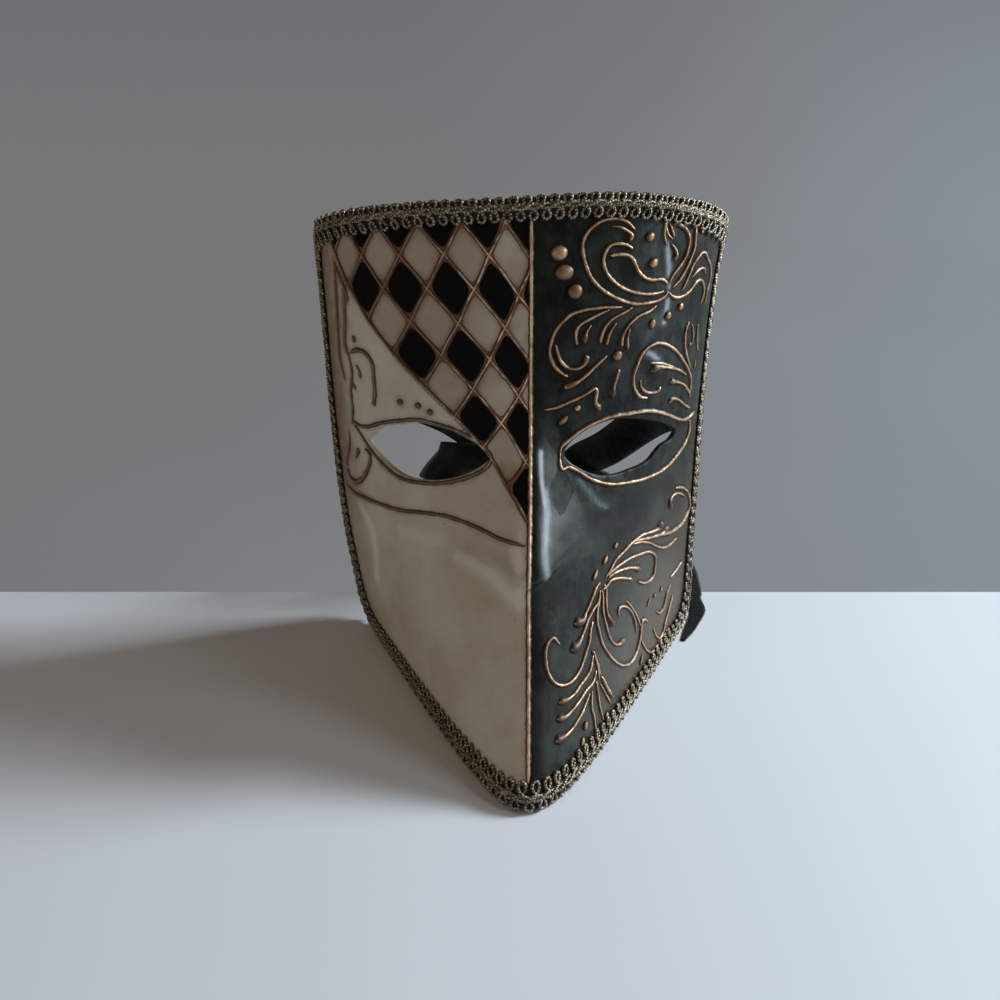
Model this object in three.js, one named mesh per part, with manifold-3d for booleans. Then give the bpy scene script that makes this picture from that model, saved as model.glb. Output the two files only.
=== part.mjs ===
// A carnival mask of the bauta kind, half harlequin check and half scrollwork: one papier-mache shell
// with two eye openings, a gimp braid folded over its whole rim, and two satin ties knotted behind it.
// Millimetres, +Z up. It stands on the braided edge of its jaw, leaning back; its face looks along -Y.
// Sections of the shell are level curves: each runs from the keel at the front to a side edge behind.
import * as THREE from "three";
import { mergeVertices } from "three/addons/utils/BufferGeometryUtils.js";
import Module from "manifold-3d";

const wasm = await Module();
wasm.setup();

// Driving dimensions
const WALL = 2.6;
const CLEARANCE = 0.35;
const BRAID_THICK = 1.6;
const BRAID_REACH = 9;
const RIM_INSET = BRAID_THICK + CLEARANCE;
const CROWN_HEIGHT = 230.5;
const CROWN_DROP = 26;
const CROWN_SKEW = 7.5;
const CORNER_RADIUS_TOP = 11;
const CORNER_RADIUS_JAW = 14;
const EDGE_BACK = 146;
const EDGE_LEAN = 0.182;
const KEEL_SIDESTEP = 1.2;
const APEX_ROUNDING = 0.222;

// Height above the table against a distance: how far back the keel is, and how far out each side edge is
const KEEL = through([
  [0, 1.5], [35, 31], [60, 51.5], [78, 66], [92, 79],
  [110, 92], [128, 101], [150, 108], [190, 117], [232, 130],
]);
const LEFT_HALF = through([[0, 85], [30, 89], [65, 92.5], [110, 95], [160, 96.5], [205, 98.5]]);
const RIGHT_HALF = through([
  [0, 90.5], [30, 89], [65, 88], [110, 88], [150, 89], [180, 91], [205, 94.5],
]);

// The nose stands forward of that form: how far, and how wide to each side, against height
const NOSE_FORWARD = through([
  [64, 0], [74, 3], [82, 13], [90, 13.5], [105, 10.5], [122, 6], [140, 1.5], [150, 0],
]);
const NOSE_HALF_WIDTH = through([[64, 34], [82, 31], [105, 24], [125, 17], [140, 14], [150, 14]]);
const NOSE_FOOT_RISE = 0.3;
const NOSE_FLAT = 0.12;

// Shallow hollows that the eyes sit in, as distance along the level curve and height
const SOCKET = { depth: 3, along: 48, height: 121, spread: 30, rise: 15 };

// An eye opening runs from its inner corner to its outer corner, with a bow above and a bow below
const EYE = { inner: [17.7, 122.3], outer: [80.5, 117.6], over: 12.3, under: 10.8, lean: 0.35 };

// The ties: flat ribbon, from the inside of each side edge to the knot, and on into a loop and a tail
const RIBBON = { width: 22, thick: 0.8 };
const TABLE_GAP = 0.05;
const TIE_HEIGHT = { "-1": 119, 1: 113 };
const KNOT = { at: [18, 198, 60], size: [16, 11, 17] };

const HALF_COLUMNS = 19;
const ROWS = 33;
const CURVE_STEPS = 60;
const EYE_STEPS = 20;

// Smooth curve through points sorted by their first value, without overshoot
function through(points) {
  const n = points.length;
  const secant = (i) => (points[i + 1][1] - points[i][1]) / (points[i + 1][0] - points[i][0]);
  const slope = points.map((_, i) => {
    if (i === 0) return secant(0);
    if (i === n - 1) return secant(n - 2);
    const [a, b] = [secant(i - 1), secant(i)];
    return a * b <= 0 ? 0 : (2 * a * b) / (a + b);
  });
  return (t) => {
    const at = THREE.MathUtils.clamp(t, points[0][0], points[n - 1][0]);
    const i = Math.min(n - 2, Math.max(0, points.findIndex((p) => p[0] >= at) - 1));
    const [[t0, v0], [t1, v1]] = [points[i], points[i + 1]];
    const span = t1 - t0;
    const s = (at - t0) / span;
    const rise = (v1 - v0) / span;
    const bend = slope[i] + slope[i + 1] - 2 * rise;
    const lift = 3 * rise - 2 * slope[i] - slope[i + 1];
    return v0 + span * s * (slope[i] + s * (lift + s * bend));
  };
}

// How round a level curve is: 0 is the sharp prow of the jaw, 1 the round forehead
function roundness(z) {
  return 0.75 * THREE.MathUtils.smoothstep(z, 0, 150) + 0.25 * THREE.MathUtils.smoothstep(z, 90, 170);
}

function noseAt(x, z) {
  const foot = z - NOSE_FOOT_RISE * Math.abs(x) * (1 - THREE.MathUtils.smoothstep(z, 86, 110));
  const across = Math.abs(x) / NOSE_HALF_WIDTH(z);
  return NOSE_FORWARD(foot) * (1 - THREE.MathUtils.smoothstep(across, NOSE_FLAT, 1));
}

function socketAt(along, z) {
  const across = (Math.abs(along) - SOCKET.along) / SOCKET.spread;
  const up = (z - SOCKET.height) / SOCKET.rise;
  return SOCKET.depth * Math.exp(-across * across * 1.5 - up * up);
}

// One side of a level curve as steps from the keel to the side edge, each with its distance along the curve
const levels = new Map();
function levelSide(side, z) {
  const key = side + "@" + z.toFixed(4);
  if (levels.has(key)) return levels.get(key);
  const round = roundness(z);
  const keelX = (KEEL_SIDESTEP * z) / CROWN_HEIGHT;
  const half = side > 0 ? RIGHT_HALF(z) - keelX : LEFT_HALF(z) + keelX;
  const [front, back] = [KEEL(z), EDGE_BACK + EDGE_LEAN * z];
  const steps = [];
  let length = 0;
  for (let i = 0; i <= CURVE_STEPS; i++) {
    const share = Math.sin(((i / CURVE_STEPS) * Math.PI) / 2);
    const bow = Math.hypot(share, APEX_ROUNDING) - APEX_ROUNDING;
    const prow = bow / (Math.hypot(1, APEX_ROUNDING) - APEX_ROUNDING);
    const dome = 1 - Math.sqrt(Math.max(0, 1 - share * share));
    const x = keelX + side * half * share;
    const y = front + (back - front) * ((1 - round) * prow + round * dome);
    if (i > 0) length += Math.hypot(x - steps[i - 1].x, y - steps[i - 1].y);
    steps.push({ x, y, length });
  }
  levels.set(key, steps);
  return steps;
}

function sideLength(side, z) {
  return levelSide(side, z)[CURVE_STEPS].length;
}

// The outer face at a signed share of the way from keel to side edge, and a height
function outerPoint(share, z) {
  const side = share < 0 ? -1 : 1;
  const steps = levelSide(side, z);
  const along = Math.abs(share) * steps[CURVE_STEPS].length;
  const i = Math.min(CURVE_STEPS - 1, Math.max(0, steps.findIndex((s) => s.length >= along) - 1));
  const part = (along - steps[i].length) / (steps[i + 1].length - steps[i].length);
  const x = THREE.MathUtils.lerp(steps[i].x, steps[i + 1].x, part);
  const y = THREE.MathUtils.lerp(steps[i].y, steps[i + 1].y, part);
  const keelX = (KEEL_SIDESTEP * z) / CROWN_HEIGHT;
  return new THREE.Vector3(x, y - noseAt(x - keelX, z) + socketAt(along, z), z);
}

// The level direction out of the face, as long as it must be to pass one millimetre of wall
function outward(share, z) {
  const [du, dz] = [0.004, 0.5];
  const u = THREE.MathUtils.clamp(share, -1 + du, 1 - du);
  const across = outerPoint(u + du, z).sub(outerPoint(u - du, z));
  const up = outerPoint(u, z + dz).sub(outerPoint(u, z - dz));
  const normal = across.cross(up).normalize();
  const level = new THREE.Vector3(normal.x, normal.y, 0);
  return level.divideScalar(Math.max(level.lengthSq(), 0.35));
}

function facePoint(share, z, out) {
  return outerPoint(share, z).addScaledVector(outward(share, z), out);
}

// The crown and the jaw line, with rounded corners at the side edges
function cornerLift(share, radius, length) {
  const left = (1 - Math.abs(share)) * length;
  return left < radius ? radius - Math.sqrt(radius * radius - (radius - left) ** 2) : 0;
}

function crownLine(share) {
  const skew = CROWN_SKEW * share * (1 - Math.abs(share));
  const drop = CROWN_DROP * Math.abs(share) ** 2.6;
  return CROWN_HEIGHT + skew - drop - cornerLift(share, CORNER_RADIUS_TOP, 130);
}

function jawLine(share) {
  return cornerLift(share, CORNER_RADIUS_JAW, 165);
}

// The grid of the shell: columns gather at the keel and at the side edges
function columnShare(i) {
  const s = (i - HALF_COLUMNS) / HALF_COLUMNS;
  const gathered = Math.abs(s) - (0.68 * Math.sin(2 * Math.PI * Math.abs(s))) / (2 * Math.PI);
  return Math.sign(s) * gathered;
}

const COLUMNS = 2 * HALF_COLUMNS + 1;

// A place on the shell: its share and height, drawn in from the rim by the inset
function gridPlace(i, j, inset) {
  const full = columnShare(i);
  const t = j / (ROWS - 1);
  const middle = THREE.MathUtils.lerp(jawLine(full), crownLine(full), t);
  const length = sideLength(full < 0 ? -1 : 1, middle);
  const share = full * (1 - inset / length);
  const [low, high] = [jawLine(full) + inset, crownLine(full) - inset];
  return [share, THREE.MathUtils.lerp(low, high, t)];
}

function meshOf(points, triangles) {
  const geometry = new THREE.BufferGeometry();
  geometry.setAttribute("position", new THREE.Float32BufferAttribute(points.flatMap((p) => p.toArray()), 3));
  geometry.setIndex(triangles.flat());
  return geometry;
}

function solidOf(geometry) {
  const mesh = new wasm.Mesh({
    numProp: 3,
    vertProperties: geometry.getAttribute("position").array,
    triVerts: new Uint32Array(geometry.index.array),
  });
  return new wasm.Manifold(mesh);
}

function geometryOf(solid) {
  const mesh = solid.getMesh();
  const geometry = new THREE.BufferGeometry();
  geometry.setAttribute("position", new THREE.BufferAttribute(mesh.vertProperties.slice(), 3));
  geometry.setIndex(new THREE.BufferAttribute(mesh.triVerts.slice(), 1));
  return geometry;
}

// A closed body from rings of points: each ring joins the next, and the last joins the first or is capped
function ringBody(rings, closed) {
  const size = rings[0].length;
  const triangles = [];
  const count = closed ? rings.length : rings.length - 1;
  for (let r = 0; r < count; r++) {
    const [a, b] = [r * size, ((r + 1) % rings.length) * size];
    for (let k = 0; k < size; k++) {
      const next = (k + 1) % size;
      triangles.push([a + k, a + next, b + next], [a + k, b + next, b + k]);
    }
  }
  if (!closed) {
    const last = (rings.length - 1) * size;
    for (let k = 1; k < size - 1; k++) {
      triangles.push([0, k + 1, k], [last, last + k, last + k + 1]);
    }
  }
  const solid = solidOf(meshOf(rings.flat(), triangles));
  if (solid.volume() > 0) return solid;
  return solidOf(meshOf(rings.flat(), triangles.map(([a, b, c]) => [a, c, b])));
}

// The shell: outer and inner faces on one grid, joined round the rim, all grown by a given amount
function shellBlank(grown) {
  const points = [];
  for (const out of [grown, -WALL - grown]) {
    for (let j = 0; j < ROWS; j++) {
      for (let i = 0; i < COLUMNS; i++) points.push(facePoint(...gridPlace(i, j, RIM_INSET - grown), out));
    }
  }
  const inner = COLUMNS * ROWS;
  const triangles = [];
  const quad = (a, b, c, d) => triangles.push([a, b, c], [a, c, d]);
  for (let j = 0; j < ROWS - 1; j++) {
    for (let i = 0; i < COLUMNS - 1; i++) {
      const at = j * COLUMNS + i;
      quad(at, at + 1, at + COLUMNS + 1, at + COLUMNS);
      quad(inner + at, inner + at + COLUMNS, inner + at + COLUMNS + 1, inner + at + 1);
    }
  }
  const rim = rimIndices().map(([i, j]) => j * COLUMNS + i);
  rim.forEach((a, k) => {
    const b = rim[(k + 1) % rim.length];
    quad(a, inner + a, inner + b, b);
  });
  return solidOf(meshOf(points, triangles));
}

// Grid places round the rim: along the jaw, up one side, back over the crown and down the other
function rimIndices() {
  const places = [];
  for (let i = 0; i < COLUMNS - 1; i++) places.push([i, 0]);
  for (let j = 0; j < ROWS - 1; j++) places.push([COLUMNS - 1, j]);
  for (let i = COLUMNS - 1; i > 0; i--) places.push([i, ROWS - 1]);
  for (let j = ROWS - 1; j > 0; j--) places.push([0, j]);
  return places;
}

// An eye opening as a plug through the wall, wider than the wall is thick
function eyePlug(side) {
  const outline = [];
  for (let k = 0; k < 2 * EYE_STEPS; k++) {
    const over = k < EYE_STEPS;
    const t = over ? k / EYE_STEPS : 2 - k / EYE_STEPS;
    const bow = over
      ? EYE.over * (4 * t * (1 - t)) ** 0.65
      : -EYE.under * (4 * t * (1 - t)) ** 0.8 * (1 - EYE.lean * (t - 0.5));
    const z = THREE.MathUtils.lerp(EYE.inner[1], EYE.outer[1], t) + bow;
    const along = THREE.MathUtils.lerp(EYE.inner[0], EYE.outer[0], t);
    outline.push(outerPoint((side * along) / sideLength(side, z), z));
  }
  const centre = outline.reduce((sum, p) => sum.add(p), vector(0, 0, 0)).divideScalar(outline.length);
  const bore = outward((side * 49) / sideLength(side, centre.z), centre.z).normalize();
  const ring = (out) => outline.map((p) => p.clone().addScaledVector(bore, out));
  return ringBody([ring(9), ring(-14)], false);
}

function shellSolid() {
  return shellBlank(0).subtract(eyePlug(-1)).subtract(eyePlug(1));
}

// The braid: a strip folded over the rim, out over the face by its reach and in over the back
function braidSection(i, j) {
  const [share, z] = gridPlace(i, j, RIM_INSET);
  const [shareIn, zIn] = gridPlace(i, j, RIM_INSET + BRAID_REACH);
  const edge = facePoint(share, z, 0);
  const off = edge.clone().sub(facePoint(shareIn, zIn, 0));
  if (j === 0 && jawLine(columnShare(i)) === 0) off.set(0, 0, -1);
  off.normalize();
  const at = (u, h, out, past) => facePoint(u, h, out).addScaledVector(off, past);
  const far = CLEARANCE + BRAID_THICK;
  return [
    at(shareIn, zIn, far, 0),
    at(share, z, far, CLEARANCE * 0.4),
    at(share, z, CLEARANCE, far),
    at(share, z, -WALL - CLEARANCE, far),
    at(share, z, -WALL - far, CLEARANCE * 0.4),
    at(shareIn, zIn, -WALL - far, 0),
    at(shareIn, zIn, -WALL - CLEARANCE, 0),
    at(share, z, -WALL - CLEARANCE, CLEARANCE),
    at(share, z, CLEARANCE, CLEARANCE),
    at(shareIn, zIn, CLEARANCE, 0),
  ];
}

function braidSolid() {
  const strip = ringBody(rimIndices().map(([i, j]) => braidSection(i, j)), true);
  return strip.trimByPlane([0, 0, 1], 0).subtract(shellBlank(CLEARANCE * 0.6));
}

// A flat ribbon along a smooth route of stations: centre, direction of its width, and share of its width
function ribbonSolid(route, steps) {
  const curve = (points) => new THREE.CatmullRomCurve3(points, false, "centripetal");
  const centres = curve(route.map(([at]) => vector(...at)));
  const widths = curve(route.map(([, width]) => vector(...width).normalize()));
  const shares = curve(route.map(([, , share = 1]) => vector(share, 0, 0)));
  const rings = [];
  for (let k = 0; k <= steps; k++) {
    const t = k / steps;
    const centre = centres.getPoint(t);
    const run = centres.getTangent(t);
    const width = widths.getPoint(t);
    width.addScaledVector(run, -width.dot(run)).normalize();
    const face = run.clone().cross(width).normalize();
    const half = (RIBBON.width * shares.getPoint(t).x) / 2;
    const corner = (w, f) =>
      centre.clone().addScaledVector(width, w * half).addScaledVector(face, (f * RIBBON.thick) / 2);
    const ring = [corner(-1, -1), corner(1, -1), corner(1, 1), corner(-1, 1)];
    const sunk = Math.min(...ring.map((p) => p.z)) - TABLE_GAP;
    rings.push(ring.map((p) => p.setZ(p.z - Math.min(0, sunk))));
  }
  return ringBody(rings, false);
}

function vector(x, y, z) {
  return new THREE.Vector3(x, y, z);
}

const [KNOT_X, KNOT_Y, KNOT_Z] = KNOT.at;
const UPRIGHT = [0, 0, 1];
const TABLE = RIBBON.thick / 2 + TABLE_GAP;

// A tie lies against the inside of the shell, leaves past the braid and sags to its side of the knot
function strapRoute(side) {
  const height = TIE_HEIGHT[side];
  const length = sideLength(side, height);
  const place = (back, inside) =>
    facePoint(side * (1 - back / length), height, -WALL - inside).toArray();
  const overBraid = 2 * CLEARANCE + BRAID_THICK + RIBBON.thick;
  return [
    [place(32, 1.6), UPRIGHT],
    [place(22, 1.8), UPRIGHT],
    [place(12, overBraid), UPRIGHT],
    [place(0, overBraid + 0.3), UPRIGHT],
    ...SAG[side],
    [[KNOT_X + side * 6, KNOT_Y, KNOT_Z], UPRIGHT, 0.6],
  ];
}

// Where each tie sags on its way to the knot; where its loop goes out and comes back; where its tail lies.
// The left tail lies out on the table behind, the right one comes forward past the corner of the jaw.
const SAG = {
  "-1": [
    [[-70, 184, 113], UPRIGHT],
    [[-40, 195, 97.5], [-0.5, 0, 1]],
    [[-8, 198, 70.5], [-0.5, 0, 1], 0.9],
  ],
  1: [
    [[71, 184, 102], [0.1, 0, 1]],
    [[46, 193, 77], [0.3, 0, 1], 0.92],
    [[31, 197, 66.5], [0.2, 0, 1], 0.85],
  ],
};

const LOOP_ROUTES = {
  "-1": [
    [[KNOT_X - 3, KNOT_Y - 2, KNOT_Z + 1], UPRIGHT, 0.7],
    [[KNOT_X - 22, 192, 67], [-0.1, 0, 1], 0.9],
    [[-20, 189, 71], [0.25, 0, 1]],
    [[-38, 189, 71], [0.6, 0, 1]],
    [[-48, 194, 68.5], [0.8, 0, 1]],
    [[-50, 203, 65], [0.8, 0, 1]],
    [[-40, 208, 62], [0.6, 0, 1]],
    [[-20, 209, 60], [0.2, 0, 1]],
    [[KNOT_X - 15, 204, 58], UPRIGHT, 0.9],
    [[KNOT_X - 3, KNOT_Y + 3, KNOT_Z - 1], UPRIGHT, 0.7],
  ],
  1: [
    [[KNOT_X + 3, KNOT_Y - 2, KNOT_Z], UPRIGHT, 0.7],
    [[KNOT_X + 14, 193, 55], [0.4, 0, 1], 0.9],
    [[47, 190, 46], [0.5, 0, 1]],
    [[62, 192, 37], [0.6, 0, 1]],
    [[68, 199, 34], [0.6, 0, 1]],
    [[60, 206, 36], [0.6, 0, 1]],
    [[44, 208, 44], [0.5, 0, 1]],
    [[KNOT_X + 11, 204, 54], [0.3, 0, 1], 0.9],
    [[KNOT_X + 3, KNOT_Y + 3, KNOT_Z - 2], UPRIGHT, 0.7],
  ],
};

const TAIL_ROUTES = {
  "-1": [
    [[KNOT_X - 7.5, KNOT_Y + 1, KNOT_Z - 5], [1, 0, 0.2], 0.55],
    [[KNOT_X - 10, 203, 43], [1, 0, 0.2], 0.75],
    [[4, 208, 24], [0.95, 0.2, 0.25]],
    [[-7, 209, 9], [0.8, 0.55, 0.2]],
    [[-22, 205, 1.6], [0.35, 0.95, 0]],
    [[-42, 199, TABLE], [0.15, 1, 0]],
    [[-62, 191, TABLE], [-0.5, 0.9, 0]],
    [[-76, 180, TABLE], [-0.7, 0.7, 0]],
  ],
  1: [
    [[KNOT_X + 7.5, KNOT_Y + 1, KNOT_Z - 5], [1, 0, -0.2], 0.55],
    [[KNOT_X + 9, 204, 44], [1, 0, 0.1], 0.75],
    [[36, 211, 26], [0.7, 0.1, 0.7]],
    [[54, 213, 14], [0.3, 0.3, 0.9]],
    [[72, 211, 7], [0.1, 0.7, 0.7]],
    [[85, 203, 2.2], [0.75, 0.65, 0.15]],
    [[90.2, 190, TABLE], [1, 0.1, 0]],
    [[90.4, 174, TABLE], [1, 0, 0]],
    [[91, 160, TABLE], [1, 0, 0], 0.86],
    [[95.6, 149, TABLE], [1, -0.3, 0], 0.42],
    [[92.2, 139, TABLE], [1, -0.6, 0], 0.3],
    [[88, 130, TABLE], [1, -0.6, 0], 0.24],
    [[83.9, 122, TABLE], [1, -0.6, 0], 0.1],
  ],
};

function tieSolid(side) {
  const half = [KNOT.size[0] / 2 - 0.2, KNOT.size[1], KNOT.size[2]];
  const block = new THREE.BoxGeometry(...half, 3, 2, 3);
  const at = block.getAttribute("position");
  for (let k = 0; k < at.count; k++) {
    const [x, y, z] = [at.getX(k) / half[0], at.getY(k) / half[1], at.getZ(k) / half[2]];
    const pinch = 1 - 0.35 * (x * side + 0.5) ** 2 - 0.3 * (y * y + z * z);
    at.setXYZ(k, at.getX(k), at.getY(k) * pinch, at.getZ(k) * pinch);
  }
  block.translate(KNOT_X + (side * KNOT.size[0]) / 4 + side * 0.1, KNOT_Y, KNOT_Z);
  block.deleteAttribute("normal");
  block.deleteAttribute("uv");
  return solidOf(mergeVertices(block, 1e-3))
    .add(ribbonSolid(strapRoute(side), 16))
    .add(ribbonSolid(LOOP_ROUTES[side], 22))
    .add(ribbonSolid(TAIL_ROUTES[side], 26));
}

function piece(name, solid, colour, roughness, metalness) {
  const look = { color: colour, roughness, metalness, flatShading: true };
  const mesh = new THREE.Mesh(geometryOf(solid), new THREE.MeshStandardMaterial(look));
  mesh.name = name;
  return mesh;
}

const mask = new THREE.Group();
mask.add(piece("mask_shell", shellSolid(), 0xb9ad95, 0.4, 0));
mask.add(piece("rim_braid", braidSolid(), 0x7a6f52, 0.45, 0.6));
mask.add(piece("tie_left", tieSolid(-1), 0x0b0c12, 0.35, 0));
mask.add(piece("tie_right", tieSolid(1), 0x0b0c12, 0.35, 0));

// The frame's origin is under the middle of the whole outline
const bounds = new THREE.Box3().setFromObject(mask);
const centre = bounds.getCenter(new THREE.Vector3());
mask.position.set(-centre.x, -centre.y, -bounds.min.z);

export default mask;
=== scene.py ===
import math

import bpy
import numpy as np
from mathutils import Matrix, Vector, kdtree
from mathutils.bvhtree import BVHTree


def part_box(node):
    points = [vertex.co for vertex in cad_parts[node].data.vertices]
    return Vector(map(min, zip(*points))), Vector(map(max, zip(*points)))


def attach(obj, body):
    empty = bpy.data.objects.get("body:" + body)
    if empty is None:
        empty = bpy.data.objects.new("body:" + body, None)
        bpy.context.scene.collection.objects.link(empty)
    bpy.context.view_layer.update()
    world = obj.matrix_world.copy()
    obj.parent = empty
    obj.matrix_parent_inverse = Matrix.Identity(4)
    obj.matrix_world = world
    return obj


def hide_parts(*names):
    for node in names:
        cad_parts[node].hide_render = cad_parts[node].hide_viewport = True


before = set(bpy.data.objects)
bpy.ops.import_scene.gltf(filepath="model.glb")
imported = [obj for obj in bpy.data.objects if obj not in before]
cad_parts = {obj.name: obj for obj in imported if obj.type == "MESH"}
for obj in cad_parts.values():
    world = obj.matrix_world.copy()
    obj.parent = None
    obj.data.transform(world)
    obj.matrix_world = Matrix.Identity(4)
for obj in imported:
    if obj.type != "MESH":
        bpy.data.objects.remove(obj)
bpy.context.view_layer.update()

# ---------------------------------------------------------------- the form of the shell, in millimetres
WALL = 2.6
CLEARANCE = 0.35
RIM_INSET = 1.95
BRAID_REACH = 9.0
CROWN_HEIGHT = 230.5
ROW_STEP = 1.0
KEEL_SWAY = 1.2  # how far the keel leans to the right by the crown
PROW_BLUNT = 0.222  # how round the prow is at the keel, as a share of the level curve
BACK_FOOT, BACK_LEAN = 146, 0.182  # depth of the side edges at the table, and its growth with height
SOCKET_DEEP, SOCKET_OUT, SOCKET_HEIGHT = 3, 48, 121


def unit(vectors):
    return vectors / np.linalg.norm(vectors, axis=-1, keepdims=True)


def run_of(points):
    """The length run along a path, at each of its points."""
    return np.concatenate([[0], np.cumsum(np.linalg.norm(np.diff(points, axis=0), axis=1))])


def at_run(points, run, at):
    """The places on a path at these lengths."""
    return np.stack([np.interp(at, run, column) for column in points.T], -1)


def smooth_curve(points):
    """A smooth curve through sorted points that doesn't overshoot."""
    t, v = np.array(points, float).T
    rise = np.diff(v) / np.diff(t)
    a, b = rise[:-1], rise[1:]
    both = np.where(a + b == 0, 1.0, a + b)
    slope = np.concatenate([rise[:1], np.where(a * b > 0, 2 * a * b / both, 0.0), rise[-1:]])

    def at(x):
        x = np.clip(x, t[0], t[-1])
        i = np.clip(np.searchsorted(t, x) - 1, 0, len(t) - 2)
        span = t[i + 1] - t[i]
        s = (x - t[i]) / span
        bend = slope[i] + slope[i + 1] - 2 * rise[i]
        lift = 3 * rise[i] - 2 * slope[i] - slope[i + 1]
        return v[i] + span * s * (slope[i] + s * (lift + s * bend))

    return at


def smoothstep(x, low, high):
    t = np.clip((x - low) / (high - low), 0, 1)
    return t * t * (3 - 2 * t)


KEEL = smooth_curve(
    [(0, 1.5), (35, 31), (60, 51.5), (78, 66), (92, 79), (110, 92), (128, 101), (150, 108), (190, 117), (232, 130)]
)
HALF = {
    -1: smooth_curve([(0, 85), (30, 89), (65, 92.5), (110, 95), (160, 96.5), (205, 98.5)]),
    1: smooth_curve([(0, 90.5), (30, 89), (65, 88), (110, 88), (150, 89), (180, 91), (205, 94.5)]),
}
NOSE_FORWARD = smooth_curve([(64, 0), (74, 3), (82, 13), (90, 13.5), (105, 10.5), (122, 6), (140, 1.5), (150, 0)])
NOSE_HALF_WIDTH = smooth_curve([(64, 34), (82, 31), (105, 24), (125, 17), (140, 14), (150, 14)])


def keel_x(z):
    return KEEL_SWAY * z / CROWN_HEIGHT


def section(side, share, z):
    """A level curve without nose and sockets."""
    roundness = 0.75 * smoothstep(z, 0, 150) + 0.25 * smoothstep(z, 90, 170)
    half = HALF[side](z) - side * keel_x(z)
    front, back = KEEL(z), BACK_FOOT + BACK_LEAN * z
    prow = (np.hypot(share, PROW_BLUNT) - PROW_BLUNT) / (math.hypot(1, PROW_BLUNT) - PROW_BLUNT)
    dome = 1 - np.sqrt(np.clip(1 - share * share, 0, 1))
    x = keel_x(z) + side * half * share
    return x, front + (back - front) * ((1 - roundness) * prow + roundness * dome)


LEVELS = np.arange(0, 236.01, ROW_STEP)
PARTS = np.linspace(0, 1, 401)
TABLE = {}
for side in (-1, 1):
    share = np.sin(np.linspace(0, 1, 241) * math.pi / 2)
    xs, ys = section(side, share[None, :], LEVELS[:, None])
    run = np.cumsum(np.hypot(np.diff(xs, axis=1), np.diff(ys, axis=1)), axis=1)
    run = np.concatenate([np.zeros((len(LEVELS), 1)), run], axis=1)
    TABLE[side] = (
        run[:, -1],
        np.array([np.interp(PARTS * r[-1], r, x) for r, x in zip(run, xs)]),
        np.array([np.interp(PARTS * r[-1], r, y) for r, y in zip(run, ys)]),
    )


def side_length(side, z):
    return np.interp(z, LEVELS, TABLE[side][0])


def level_length(s, z):
    """Length of the level curve from the keel to the edge, on the side of s."""
    return np.where(s < 0, side_length(-1, z), side_length(1, z))


def form(s, z):
    """Points of the outer face: signed distance from the keel along the level curve, and height."""
    s, z = np.broadcast_arrays(np.asarray(s, float), np.asarray(z, float))
    out = np.empty(s.shape + (3,))
    for side in (-1, 1):
        pick = (s < 0) if side < 0 else (s >= 0)
        if not pick.any():
            continue
        along, height = np.abs(s[pick]), z[pick]
        _, table_x, table_y = TABLE[side]
        row = np.clip(height / ROW_STEP, 0, len(LEVELS) - 1.001)
        i = row.astype(int)
        f = row - i
        part = np.clip(along / side_length(side, height), 0, 1) * (len(PARTS) - 1)
        j = np.clip(part.astype(int), 0, len(PARTS) - 2)
        g = part - j

        def mix(t):
            return (1 - f) * ((1 - g) * t[i, j] + g * t[i, j + 1]) + f * ((1 - g) * t[i + 1, j] + g * t[i + 1, j + 1])

        x, y = mix(table_x), mix(table_y)
        off = np.abs(x - keel_x(height))
        foot = height - 0.3 * off * (1 - smoothstep(height, 86, 110))
        nose = NOSE_FORWARD(foot) * (1 - smoothstep(off / NOSE_HALF_WIDTH(height), 0.12, 1))
        across, up = (along - SOCKET_OUT) / 30, (height - SOCKET_HEIGHT) / 15
        socket = SOCKET_DEEP * np.exp(-1.5 * across**2 - up**2)
        out[pick] = np.stack([x, y - nose + socket, height], -1)
    return out


def form_frame(s, z, step=1.2):
    """Point, outward normal, and the two derivatives of the face."""
    s, z = np.asarray(s, float), np.asarray(z, float)
    ds = (form(s + step, z) - form(s - step, z)) / (2 * step)
    dz = (form(s, z + step) - form(s, z - step)) / (2 * step)
    return form(s, z), unit(np.cross(ds, dz)), ds, dz


def settle(target, s, z):
    """The place on the face nearest to each target, from a first guess."""
    for _ in range(3):
        p, _, ds, dz = form_frame(s, z, 0.6)
        d = target - p
        a, b, c = (ds * ds).sum(-1), (ds * dz).sum(-1), (dz * dz).sum(-1)
        e, f = (ds * d).sum(-1), (dz * d).sum(-1)
        det = np.maximum(a * c - b * b, 1e-6)
        s = s + np.clip((c * e - b * f) / det, -6, 6)
        z = z + np.clip((a * f - b * e) / det, -6, 6)
    return s, z


def crown_line(share):
    lift = corner_lift(share, 11, 130)
    return CROWN_HEIGHT + 7.5 * share * (1 - np.abs(share)) - 26 * np.abs(share) ** 2.6 - lift


def jaw_line(share):
    return corner_lift(share, 14, 165)


def corner_lift(share, radius, length):
    left = np.minimum((1 - np.abs(share)) * length, radius)
    return radius - np.sqrt(np.maximum(radius * radius - (radius - left) ** 2, 0))


def rim_place(share, t, inset):
    """Distance along and height of a place on the shell, drawn in from the rim."""
    share, t = np.broadcast_arrays(np.asarray(share, float), np.asarray(t, float))
    low, high = jaw_line(share), crown_line(share)
    middle = low + (high - low) * t
    z = (low + inset) + (high - low - 2 * inset) * t
    inner = share * (1 - inset / level_length(share, middle))
    return inner * level_length(share, z), z


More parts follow.
